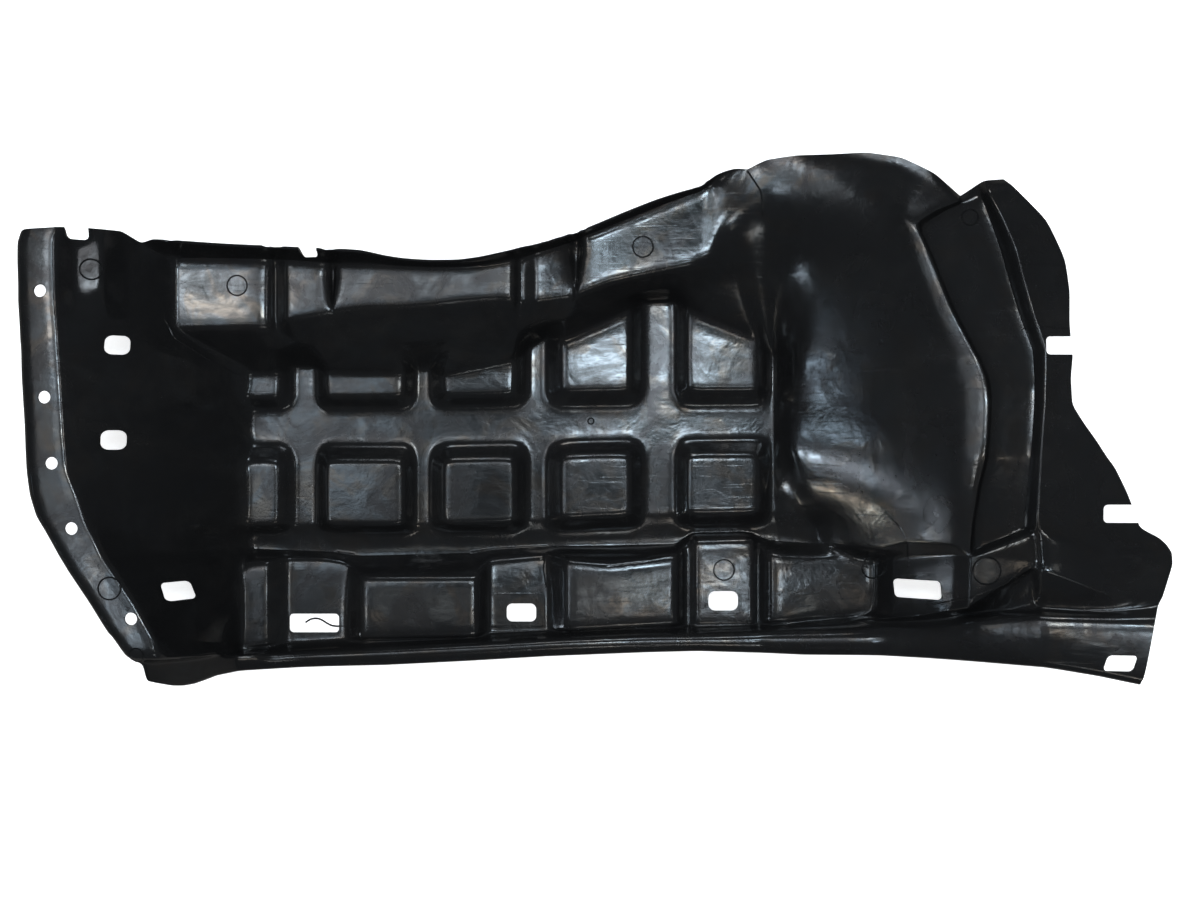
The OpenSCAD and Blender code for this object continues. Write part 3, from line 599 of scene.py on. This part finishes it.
class LINER_OT_shell(bpy.types.Operator):
    """Models the moulded sheet from a flat grid and gives it its wall"""
    bl_idname = "liner.shell"
    bl_label = "Moulded shell"

    def execute(self, context):
        shape = context.scene.liner_shape
        cage = liner_cage(shape)
        down, across = cage.shape[:2]
        deselect()
        bpy.ops.mesh.primitive_grid_add(x_subdivisions=across - 1, y_subdivisions=down - 1,
                                        size=0.8, location=(0, 0, 0))
        piece = context.object
        piece.name = piece.data.name = "liner_shell"
        # The new grid runs from low y to high y, and the cage's first row is the top edge.
        piece.data.vertices.foreach_set("co", cage[::-1].reshape(-1))
        piece.data.update()
        rounder = piece.modifiers.new("Fillets", "SUBSURF")
        rounder.levels = rounder.render_levels = 1
        apply_all(piece)
        wall = piece.modifiers.new("Wall", "SOLIDIFY")
        wall.thickness = shape.wall
        wall.offset = -1.0
        wall.use_even_offset = True
        wall.thickness_clamp = 1.0
        apply_all(piece)
        return {"FINISHED"}


# Screw holes in the flange: x, y.
HOLES = [(-381.5, 108.5), (-378.5, 36), (-373.5, -9), (-360, -53.5), (-319.5, -115)]
# Slots: x, y, length, width, corner, slant of the ends.
SLOTS = [
    (-338, 73.5, 14.6, 13.5, 4.6, 0), (-339.5, 7, 14.6, 13.5, 4.6, 0),
    (-298, -99.5, 15.5, 13, 3, 0.36), (-213, -129, 37, 14, 3, 0),
    (-58.5, -121, 22, 13.5, 4.2, 0), (91.5, -112, 22, 14.5, 5, 0),
    (227, -99.5, 29, 13.5, 3, 0.1), (358.5, -147, 20, 11, 3, -0.3)]
# Open notches, in the same order.
NOTCHES = [(-359.5, 153, 12.5, 16, 3, 0), (-207.5, 147, 12.5, 17, 3, 0),
           (327, 72, 40, 12.5, 3, 0), (368, -44, 42, 12.5, 3, 0)]
# Cutters, in metres: depth and middle height of the drills and of the blocks.
DRILL_DEPTH, DRILL_Z = 0.08, 0.13
BLOCK_DEPTH, BLOCK_Z = 0.26, 0.075
# Fewer faces than this after the cut mean that it failed.
LEAST_FACES = 20000


def hole_cutter(x, y, diameter):
    deselect()
    px, py = plan(x, y)
    bpy.ops.mesh.primitive_cylinder_add(vertices=40, radius=diameter / 2,
                                        depth=DRILL_DEPTH, location=(px, py, DRILL_Z))
    return bpy.context.object


def slot_cutter(x, y, length, width, corner, slant):
    """A tall block with rounded upright edges, for one slot or notch."""
    deselect()
    px, py = plan(x, y)
    bpy.ops.mesh.primitive_cube_add(size=1, location=(px, py, BLOCK_Z))
    cutter = bpy.context.object
    cutter.scale = (length * MM, width * MM, BLOCK_DEPTH)
    bpy.ops.object.transform_apply(location=False, rotation=False, scale=True)
    bpy.ops.object.mode_set(mode="EDIT")
    bpy.ops.mesh.select_mode(type="EDGE")
    bpy.ops.mesh.select_all(action="DESELECT")
    bpy.ops.object.mode_set(mode="OBJECT")
    mesh = cutter.data
    for edge in mesh.edges:
        a, b = (mesh.vertices[v].co for v in edge.vertices)
        edge.select = abs(a.z - b.z) > BLOCK_DEPTH / 2
    bpy.ops.object.mode_set(mode="EDIT")
    bpy.ops.mesh.bevel(offset=corner * MM, segments=6, affect="EDGES")
    bpy.ops.object.mode_set(mode="OBJECT")
    for vertex in mesh.vertices:
        vertex.co.x -= vertex.co.y * slant
    return cutter


class LINER_OT_openings(bpy.types.Operator):
    """Cuts the flange holes, the clip slots and the open notches through the shell"""
    bl_idname = "liner.openings"
    bl_label = "Holes, slots and notches"

    def execute(self, context):
        shape = context.scene.liner_shape
        piece = liner_piece()
        cutters = [hole_cutter(x, y, shape.hole_diameter) for x, y in HOLES]
        cutters += [slot_cutter(*slot) for slot in SLOTS + NOTCHES]
        tool = cutters[0]
        join(cutters, tool)
        settle(tool)
        cut = piece.modifiers.new("Openings", "BOOLEAN")
        cut.operation = "DIFFERENCE"
        cut.solver = "EXACT"
        cut.object = tool
        apply_all(piece)
        bpy.data.objects.remove(tool)
        if len(piece.data.polygons) < LEAST_FACES:
            raise RuntimeError("The openings weren't cut cleanly")
        shade(piece)
        return {"FINISHED"}


# Marks of the mould

# Rings left by the ejector pins: x, y, radius.
RINGS = [(-352, 125, 7), (-262.5, 119, 7.2), (31, 147, 7.4), (-316, -140, 5),
         (92, -89, 7.6), (201, -87, 7.6), (269, -84, 9.6), (259, 163, 5.6), (-334, -94.3, 7.6),
         (-6.8, 21.6, 2.2)]
# Low beads and creases: width across, then the points they pass.
BEADS = [
    (1.3, [(-313, 94), (-307, 81), (-284, 65), (-269, 56)]),
    (1.4, [(-288, 119), (-287, 115), (-283, 108)]),
    (1.4, [(-44.5, -81.6), (-41, -78), (-42.3, -89), (-40, -102.4)]),
    (1.6, [(-39, -76), (-30, -83), (-24, -96), (-25, -112), (-22, -136)]),
    (1.3, [(5, -86), (30, -83), (52, -79)]),
    (1.3, [(81, -82), (84, -84), (87, -82), (90, -84)]),
    (1.4, [(140, -84), (160, -81), (185, -82), (201, -88), (209, -79)]),
    (1.4, [(204, -44), (214, -55), (219, -66), (221, -80)]),
    (1.5, [(106, 201), (116, 186), (118, 168)]),
    (1.2, [(293, 128.5), (308, 128.5), (322, 127)]),
    (1.2, [(293, 84.5), (308, 84.5), (322, 84)]),
    (1.6, [(282, -68), (287, -58), (301, -52), (315, -55), (332, -65), (341, -71)]),
    (1.2, [(300, -75), (283, -93), (255, -104), (228, -112)]),
    ]
# Raised frames round the clip slots: x, y, length, width, corner.
FRAMES = [(91.5, -112, 26, 20, 5), (91.5, -112.5, 38.5, 29, 6), (-62.5, -119, 41, 25, 2)]
# The thin curl of flash that hangs in the longest slot.
FLASH = [(-219.5, -128.5), (-216, -126), (-212, -125.2), (-208, -126), (-204.5, -128.5),
         (-200, -131), (-195, -131.4), (-190, -131.2)]
# The skin beside the flash, which hangs this far below it, in metres.
FLASH_SPOT, FLASH_DROP, FLASH_RADIUS = (-188, -129), 0.0012, 0.0007
# Widths of the rings and frames in millimetres, and how much of a cord's radius is sunk.
RING_WIDTH, FRAME_WIDTH, SUNK = 1.4, 1.5, 0.25
# Rays are cast down at the skin from this height, in metres.
RAY_HEIGHT = 0.4


def skin(piece):
    """The finished shell as a tree that rays can be cast at."""
    mesh = piece.data
    return BVHTree.FromPolygons([v.co.copy() for v in mesh.vertices],
                                [tuple(face.vertices) for face in mesh.polygons])


def cast(tree, x, y):
    """Place and normal of the skin at a place of the plan."""
    return tree.ray_cast(Vector((*plan(x, y), RAY_HEIGHT)), Vector((0, 0, -1)))[:2]


def follow(points, step=1.2):
    """Points every step millimetres along a rounded line through the given ones."""
    line = []
    for (x0, y0), (x1, y1) in zip(points, points[1:]):
        count = max(1, int(math.hypot(x1 - x0, y1 - y0) / step))
        line += [(mix(x0, x1, n / count), mix(y0, y1, n / count)) for n in range(count)]
    line.append(points[-1])
    for _ in range(3):
        inner = [tuple((a + 2 * b + c) / 4 for a, b, c in zip(*line[n - 1:n + 2]))
                 for n in range(1, len(line) - 1)]
        line = [line[0]] + inner + [line[-1]]
    return line


def ring_line(x, y, radius):
    return [(x + radius * math.cos(n * math.pi / 24), y + radius * math.sin(n * math.pi / 24))
            for n in range(48)]


def frame_line(x, y, length, width, corner):
    points = []
    for quarter, (sx, sy) in enumerate(((1, 1), (-1, 1), (-1, -1), (1, -1))):
        cx, cy = x + sx * (length / 2 - corner), y + sy * (width / 2 - corner)
        for n in range(7):
            turn = (quarter + n / 6) * math.pi / 2
            points.append((cx + corner * math.cos(turn), cy + corner * math.sin(turn)))
    return points


def thread(places, radius, closed=False, painted_shade=0.0):
    """A thin round cord through the places; the last argument darkens the cord's reflection, as
    painted shade.
    """
    curve = bpy.data.curves.new("thread", "CURVE")
    curve.dimensions = "3D"
    curve.bevel_depth = radius
    curve.bevel_resolution = 1
    curve.use_fill_caps = True
    spline = curve.splines.new("POLY")
    spline.points.add(len(places) - 1)
    for point, place in zip(spline.points, places):
        point.co = (*place, 1)
    spline.use_cyclic_u = closed
    cord = bpy.data.objects.new("thread", curve)
    bpy.context.collection.objects.link(cord)
    pick(cord)
    bpy.ops.object.convert(target="MESH")
    cord = bpy.context.object
    ring_shade = cord.data.attributes.new("ring_shade", "FLOAT", "POINT")
    ring_shade.data.foreach_set("value", [painted_shade] * len(cord.data.vertices))
    return cord


def bead(tree, points, width, closed=False, painted_shade=0.0):
    """A low bead on the skin: a cord sunk until only its back stands out."""
    radius = width * MM / 2
    places = []
    for x, y in points:
        place, normal = cast(tree, x, y)
        if place is not None:
            places.append(place - normal * (radius * SUNK))
    return thread(places, radius, closed, painted_shade)


class LINER_OT_marks(bpy.types.Operator):
    """Adds the ejector rings, the low beads, the slot frames and the curl of flash"""
    bl_idname = "liner.marks"
    bl_label = "Marks of the mould"

    def execute(self, context):
        piece = liner_piece()
        tree = skin(piece)
        # Painted shade: the rings' reflection is darkened so that they show as thin dark lines.
        cords = [bead(tree, ring_line(*ring), RING_WIDTH, True, 1.0) for ring in RINGS]
        cords += [bead(tree, follow(points), width) for width, points in BEADS]
        cords += [bead(tree, frame_line(*sides), FRAME_WIDTH, True) for sides in FRAMES]
        level = cast(tree, *FLASH_SPOT)[0].z - FLASH_DROP
        cords.append(thread([(*plan(x, y), level) for x, y in follow(FLASH)], FLASH_RADIUS))
        join(cords, piece)
        shade(piece)
        return {"FINISHED"}


# The plastic

# Heights of the skin's fine grain, orange peel and slow waves, and of a scratch, in millimetres.
GRAIN, PEEL, WAVES, SCRATCH = 0.05, 0.14, 0.30, -0.03
# The dust's colour and how much of it a rubbed patch holds.
DUST, DUST_SHARE = (0.020, 0.0195, 0.0185, 1), 0.5
# Tints of the mirrored light: duller in the blotches, bluish or brownish in patches as painted
# reflection colour, and near black on the rings as painted shade.
DULL, BLUISH, BROWNISH = (0.42, 0.42, 0.43, 1), (0.84, 0.94, 1.0, 1), (1.0, 0.90, 0.78, 1)
RING_SHADE_TINT = (0.06, 0.06, 0.06, 1)
# How much rougher the blotches and the scratches are, and how much smoother the rest.
DULL_ROUGHER, REST_SMOOTHER, SCRATCH_ROUGHER = 0.07, 0.02, 0.06


def group_named(name, outputs, inputs=()):
    """An empty shader node group that takes a place and numbers, and gives numbers."""
    group = bpy.data.node_groups.new(name, "ShaderNodeTree")
    group.interface.new_socket(name="Vector", in_out="INPUT", socket_type="NodeSocketVector")
    for side, labels in (("INPUT", inputs), ("OUTPUT", outputs)):
        for label in labels:
            group.interface.new_socket(name=label, in_out=side, socket_type="NodeSocketFloat")
    group.nodes.new("NodeGroupInput")
    group.nodes.new("NodeGroupOutput")
    return group


class Board:
    """Short calls for laying out the nodes of one tree."""

    def __init__(self, tree):
        self.tree = tree

    def add(self, kind, **settings):
        node = self.tree.nodes.new(kind)
        for key, value in settings.items():
            setattr(node, key, value)
        return node

    def link(self, out, into):
        self.tree.links.new(out, into)

    def place(self):
        return self.add("ShaderNodeTexCoord").outputs["Object"]

    def stretch(self, vector, scale, turn=(0, 0, 0), shift=(0, 0, 0)):
        node = self.add("ShaderNodeMapping")
        node.inputs["Scale"].default_value = scale
        node.inputs["Rotation"].default_value = turn
        node.inputs["Location"].default_value = shift
        self.link(vector, node.inputs["Vector"])
        return node.outputs["Vector"]

    def noise(self, vector, scale, detail=4.0, rough=0.5, warp=0.0):
        node = self.add("ShaderNodeTexNoise")
        node.inputs["Scale"].default_value = scale
        node.inputs["Detail"].default_value = detail
        node.inputs["Roughness"].default_value = rough
        node.inputs["Distortion"].default_value = warp
        self.link(vector, node.inputs["Vector"])
        return node.outputs["Fac"]

    def blend(self, share, a, b):
        """A mix of two colours, each a value or a socket."""
        node = self.add("ShaderNodeMix", data_type="RGBA")
        self.link(share, node.inputs["Factor"])
        for label, value in (("A", a), ("B", b)):
            if isinstance(value, tuple):
                node.inputs[label].default_value = value
            else:
                self.link(value, node.inputs[label])
        return node.outputs["Result"]

    def band(self, value, low, high, to_low=0.0, to_high=1.0):
        node = self.add("ShaderNodeMapRange", interpolation_type="SMOOTHSTEP")
        for label, number in (("From Min", low), ("From Max", high), ("To Min", to_low),
                              ("To Max", to_high)):
            node.inputs[label].default_value = number
        self.link(value, node.inputs["Value"])
        return node.outputs["Result"]

    def times(self, a, b):
        return self.sum(a, b, "MULTIPLY")

    def sum(self, a, b, how="ADD"):
        node = self.add("ShaderNodeMath", operation=how)
        for socket, value in zip(node.inputs, (a, b)):
            if isinstance(value, (int, float)):
                socket.default_value = value
            else:
                self.link(value, socket)
        return node.outputs["Value"]


def moulded_grain_group():
    """Moulded skin as a height in millimetres: slow waves, orange peel and fine grain."""
    group = group_named("Moulded grain", ["Height"], ["Grain"])
    board = Board(group)
    given = group.nodes["Group Input"].outputs
    fine = board.noise(given["Vector"], 850.0, 3.0, 0.6)
    peel = board.noise(given["Vector"], 240.0, 3.0, 0.55)
    waves = board.noise(given["Vector"], 42.0, 3.0, 0.5, 0.6)
    fine = board.times(board.times(fine, given["Grain"]), GRAIN)
    peel = board.times(board.times(peel, given["Grain"]), PEEL)
    total = board.sum(board.sum(fine, peel), board.times(waves, WAVES))
    board.link(total, group.nodes["Group Output"].inputs["Height"])
    return group


def gloss_and_painted_tint(board, place):
    """Gloss blotches from how the plastic flowed and cooled, and patches where its reflection is
    painted warmer, as painted reflection colour.
    """
    broad = board.band(board.noise(place, 24.0, 5.0, 0.62, 1.4), 0.36, 0.62)
    streaks = board.noise(board.stretch(place, (60, 190, 60), (0, 0, 0.5)), 1.0, 4.0, 0.65, 0.8)
    gloss = board.times(broad, board.band(streaks, 0.35, 0.7, 0.55, 1.0))
    # Painted reflection colour: patches where the mirrored light turns brownish rather than
    # bluish.
    painted_reflection_hue = board.noise(board.stretch(place, (1, 1, 1), (0, 0, 0), (3.1, 1.7, 0.4)), 30.0, 4.0,
                      0.6, 1.0)
    return gloss, board.band(painted_reflection_hue, 0.46, 0.62)


def handling_group():
    """Scratches and rubbed patches from handling, as masks."""
    group = group_named("Handling marks", ["Scratches", "Rubs"])
    board = Board(group)
    given = group.nodes["Group Input"].outputs["Vector"]
    total = None
    for turn, shift in ((0.35, 0.0), (1.25, 0.4), (-0.7, 0.9)):
        line = board.noise(board.stretch(given, (14, 420, 14), (0, 0, turn), (shift, 0, 0)),
                           1.0, 2.0, 0.5)
        thin = board.band(line, 0.66, 0.72)
        total = thin if total is None else board.sum(total, thin, "MAXIMUM")
    gate = board.band(board.noise(given, 9.0, 3.0, 0.6), 0.45, 0.66)
    board.link(board.times(total, gate),
               group.nodes["Group Output"].inputs["Scratches"])
    rubs = board.band(board.noise(given, 16.0, 6.0, 0.68, 1.2), 0.46, 0.72)
    board.link(rubs, group.nodes["Group Output"].inputs["Rubs"])
    return group


def black_plastic(finish):
    material = bpy.data.materials.new("black_plastic")
    material.use_nodes = True
    tree = material.node_tree
    board = Board(tree)
    shader = tree.nodes["Principled BSDF"]
    place = board.place()

    grain = board.add("ShaderNodeGroup", node_tree=moulded_grain_group())
    grain.inputs["Grain"].default_value = finish.grain
    marks = board.add("ShaderNodeGroup", node_tree=handling_group())
    for group in (grain, marks):
        board.link(place, group.inputs["Vector"])
    gloss, painted_warm_reflection = gloss_and_painted_tint(board, place)

    # Colour: near black, with a thin veil of dust where the skin was rubbed.
    veil = board.times(marks.outputs["Rubs"], DUST_SHARE * finish.dust)
    board.link(board.blend(veil, (*finish.plastic, 1), DUST), shader.inputs["Base Color"])

    # The mirrored light is painted bluish or brownish in patches, as painted reflection colour,
    # and is duller in the blotches.
    sheen = board.blend(gloss, DULL, board.blend(painted_warm_reflection, BLUISH, BROWNISH))
    # Painted shade: on the rings the mirrored light is darkened to near black.
    ring_shade = board.add("ShaderNodeAttribute", attribute_name="ring_shade").outputs["Fac"]
    board.link(board.blend(ring_shade, sheen, RING_SHADE_TINT), shader.inputs["Specular Tint"])

    rough = board.sum(board.band(gloss, 0, 1, finish.roughness + DULL_ROUGHER,
                                 finish.roughness - REST_SMOOTHER),
                      board.times(marks.outputs["Scratches"], SCRATCH_ROUGHER))
    board.link(rough, shader.inputs["Roughness"])
    shader.inputs["IOR"].default_value = 1.5

    relief = board.sum(grain.outputs["Height"],
                       board.times(marks.outputs["Scratches"], SCRATCH))
    bump = board.add("ShaderNodeBump")
    bump.inputs["Strength"].default_value = 1.0
    bump.inputs["Distance"].default_value = MM
    board.link(relief, bump.inputs["Height"])
    board.link(bump.outputs["Normal"], shader.inputs["Normal"])
    return material


class LINER_OT_plastic(bpy.types.Operator):
    """Gives the shell its black moulded plastic"""
    bl_idname = "liner.plastic"
    bl_label = "Black plastic"

    def execute(self, context):
        piece = liner_piece()
        piece.data.materials.clear()
        piece.data.materials.append(black_plastic(context.scene.liner_finish))
        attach(piece, "root")
        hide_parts("liner")
        return {"FINISHED"}


# The studio

# Softboxes that hang over the liner and face straight down: name, x, y, size, brightness of
# the cloth, tint.
WINDOW_HEIGHT = 1.6
PALE, COOL, BLUE, WARM = (0.95, 0.97, 1.0), (0.85, 0.93, 1.0), (0.82, 0.92, 1.0), (1.0, 0.97, 0.92)
WINDOWS = [
    ("window_right", 0.07, 0.14, (0.28, 0.12), 46.0, BLUE),
    ("window_top", -0.06, 0.31, (0.12, 0.08), 22.0, BLUE),
    ("window_corner", -0.60, 0.205, (0.20, 0.14), 21.0, PALE),
    ("window_band", -0.32, 0.25, (0.34, 0.14), 7.0, PALE),
    ("window_floor", -0.50, 0.0, (0.38, 0.26), 4.4, (0.80, 0.90, 1.0)),
    ("window_flange", -0.88, 0.06, (0.30, 0.56), 2.0, (0.97, 0.98, 1.0)),
    ("window_flange_low", -0.74, -0.25, (0.16, 0.20), 18.0, (0.82, 0.91, 1.0)),
    ("window_block", -0.28, -0.27, (0.22, 0.08), 2.2, WARM),
    ("window_strip", 0.05, -0.26, (0.18, 0.08), 9.0, WARM),
    ("window_seat", 0.20, -0.225, (0.11, 0.07), 40.0, COOL),
    ("window_plate", 0.44, -0.42, (0.12, 0.08), 5.0, (1.0, 0.93, 0.84)),
]
# Softboxes at the sides, which light the edges: name, place, aim, size, brightness, tint and,
# for the narrow ones, the spread in degrees.
LAMPS = [
    ("edge_front", (0.2, -1.15, 1.5), (0.1, 0.0, 0), (0.5, 0.10), 13.0, WARM),
    ("edge_back", (0.08, 1.42, 1.25), (0.1, -0.1, 0), (0.5, 0.16), 20.0, COOL),
    ("edge_right", (0.75, 0.21, 1.50), (-0.385, 0.11, 0.10), (0.30, 0.16), 26.0, PALE, 14),
    ("edge_rim", (-0.02, 1.38, 0.95), (0.21, 0.19, 0.09), (0.70, 0.36), 18.0, PALE, 14),
    ("edge_left", (-1.60, -0.62, 0.58), (0.18, -0.08, 0.08), (0.20, 0.34), 84.0,
     (0.80, 0.90, 1.0), 9),
    ("edge_tall", (-1.68, -0.23, 0.78), (0.17, -0.03, 0.09), (0.14, 0.20), 20.0,
     (0.72, 0.86, 1.0), 10),
    ("edge_warm", (-1.50, -1.06, 0.32), (0.150, -0.06, 0.06), (0.12, 0.12), 45.0,
     (1.0, 0.93, 0.80), 9),
]
# The fill lights the scene to a plain level and isn't mirrored by the plastic.
FILL = ("fill", (0.0, 0.0, 2.4), (0.0, 0.0, 0), (2.2, 1.6), 3.2, (1.0, 1.0, 1.0))
# The floor lies just under the liner; its paper glows a little for the camera only.
FLOOR_Z, PAPER_ROUGHNESS, PAPER_GLOW = -0.0002, 0.9, 0.72
# The liner mirrors a darker room than the paper that the camera sees.
MIRRORED_PAPER = (0.16, 0.15, 0.14, 1)
ROOM_TINT, ROOM_LIGHT = (0.9, 0.95, 1, 1), 0.10


def softbox(name, place, aim, size, radiance, tint, spread=180):
    """A rectangular lamp; its power follows from how bright its cloth looks."""
    lamp = bpy.data.lights.new(name, "AREA")
    lamp.shape = "RECTANGLE"
    lamp.size, lamp.size_y = size
    # A narrow spread gathers the same power into its cone, so the power goes down with it.
    half = math.radians(spread / 2)
    gather = 1 - half / math.tan(half) if spread < 180 else 1
    lamp.energy = radiance * math.pi * size[0] * size[1] * gather
    lamp.color = tint
    lamp.spread = math.radians(spread)
    holder = bpy.data.objects.new(name, lamp)
    bpy.context.collection.objects.link(holder)
    holder.location = place
    holder.rotation_euler = (Vector(aim) - Vector(place)).to_track_quat("-Z", "Y").to_euler()
    return holder


class LINER_OT_studio(bpy.types.Operator):
    """Lays the pale floor and sets the lamps and the camera"""
    bl_idname = "liner.studio"
    bl_label = "Studio"

    def execute(self, context):
        studio = context.scene.liner_studio
        deselect()
        bpy.ops.mesh.primitive_plane_add(size=8, location=(0, 0, FLOOR_Z))
        floor = context.object
        floor.name = "studio_floor"
        paper = bpy.data.materials.new("studio_paper")
        paper.use_nodes = True
        board = Board(paper.node_tree)
        diffuse = paper.node_tree.nodes["Principled BSDF"]
        diffuse.inputs["Roughness"].default_value = PAPER_ROUGHNESS
        glow = board.add("ShaderNodeEmission")
        glow.inputs["Strength"].default_value = PAPER_GLOW
        path = board.add("ShaderNodeLightPath")
        tint = board.blend(path.outputs["Is Glossy Ray"], (*studio.floor_tint, 1),
                           MIRRORED_PAPER)
        board.link(tint, diffuse.inputs["Base Color"])
        both = board.add("ShaderNodeAddShader")
        blend = board.add("ShaderNodeMixShader")
        board.link(diffuse.outputs[0], both.inputs[0])
        board.link(glow.outputs[0], both.inputs[1])
        board.link(path.outputs["Is Camera Ray"], blend.inputs[0])
        board.link(diffuse.outputs[0], blend.inputs[1])
        board.link(both.outputs[0], blend.inputs[2])
        board.link(blend.outputs[0], paper.node_tree.nodes["Material Output"].inputs["Surface"])
        floor.data.materials.append(paper)

        for name, x, y, *cloth in WINDOWS:
            softbox(name, (x, y, WINDOW_HEIGHT), (x, y, 0), *cloth)
        for lamp in LAMPS:
            softbox(*lamp)
        softbox(*FILL).visible_glossy = False

        world = bpy.data.worlds.new("studio_room")
        context.scene.world = world
        world.use_nodes = True
        room = world.node_tree.nodes["Background"]
        room.inputs["Color"].default_value = ROOM_TINT
        room.inputs["Strength"].default_value = ROOM_LIGHT
        context.scene.view_settings.view_transform = "Standard"

        lens = bpy.data.cameras.new("camera")
        lens.lens = studio.lens
        lens.sensor_width = 36
        camera = bpy.data.objects.new("camera", lens)
        context.collection.objects.link(camera)
        camera.location = (SHIFT_X * MM, SHIFT_Y * MM, studio.camera_height
                           + context.scene.liner_shape.wall)
        context.scene.camera = camera
        return {"FINISHED"}


# Panel and registration

class LINER_PT_build(bpy.types.Panel):
    """Lists the steps and the sizes of the liner"""
    bl_label = "Wheel arch liner"
    bl_idname = "LINER_PT_build"
    bl_space_type = "VIEW_3D"
    bl_region_type = "UI"
    bl_category = "Liner"

    def draw(self, context):
        column = self.layout.column()
        for step in STEPS:
            column.operator(step.bl_idname)
        for settings, group in SETTINGS.items():
            box = self.layout.box()
            for name in group.__annotations__:
                box.prop(getattr(context.scene, settings), name)


STEPS = (LINER_OT_shell, LINER_OT_openings, LINER_OT_marks, LINER_OT_plastic,
         LINER_OT_studio)
SETTINGS = {"liner_shape": LinerShape, "liner_finish": LinerFinish, "liner_studio": LinerStudio}
CLASSES = (*SETTINGS.values(), *STEPS, LINER_PT_build)


def register():
    for cls in CLASSES:
        bpy.utils.register_class(cls)
    for name, group in SETTINGS.items():
        setattr(bpy.types.Scene, name, bpy.props.PointerProperty(type=group))


def unregister():
    for name in SETTINGS:
        delattr(bpy.types.Scene, name)
    for cls in reversed(CLASSES):
        bpy.utils.unregister_class(cls)


def main():
    register()
    bpy.ops.liner.shell()
    bpy.ops.liner.openings()
    bpy.ops.liner.marks()
    bpy.ops.liner.plastic()
    bpy.ops.liner.studio()
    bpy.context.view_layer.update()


if __name__ == "__main__":
    main()
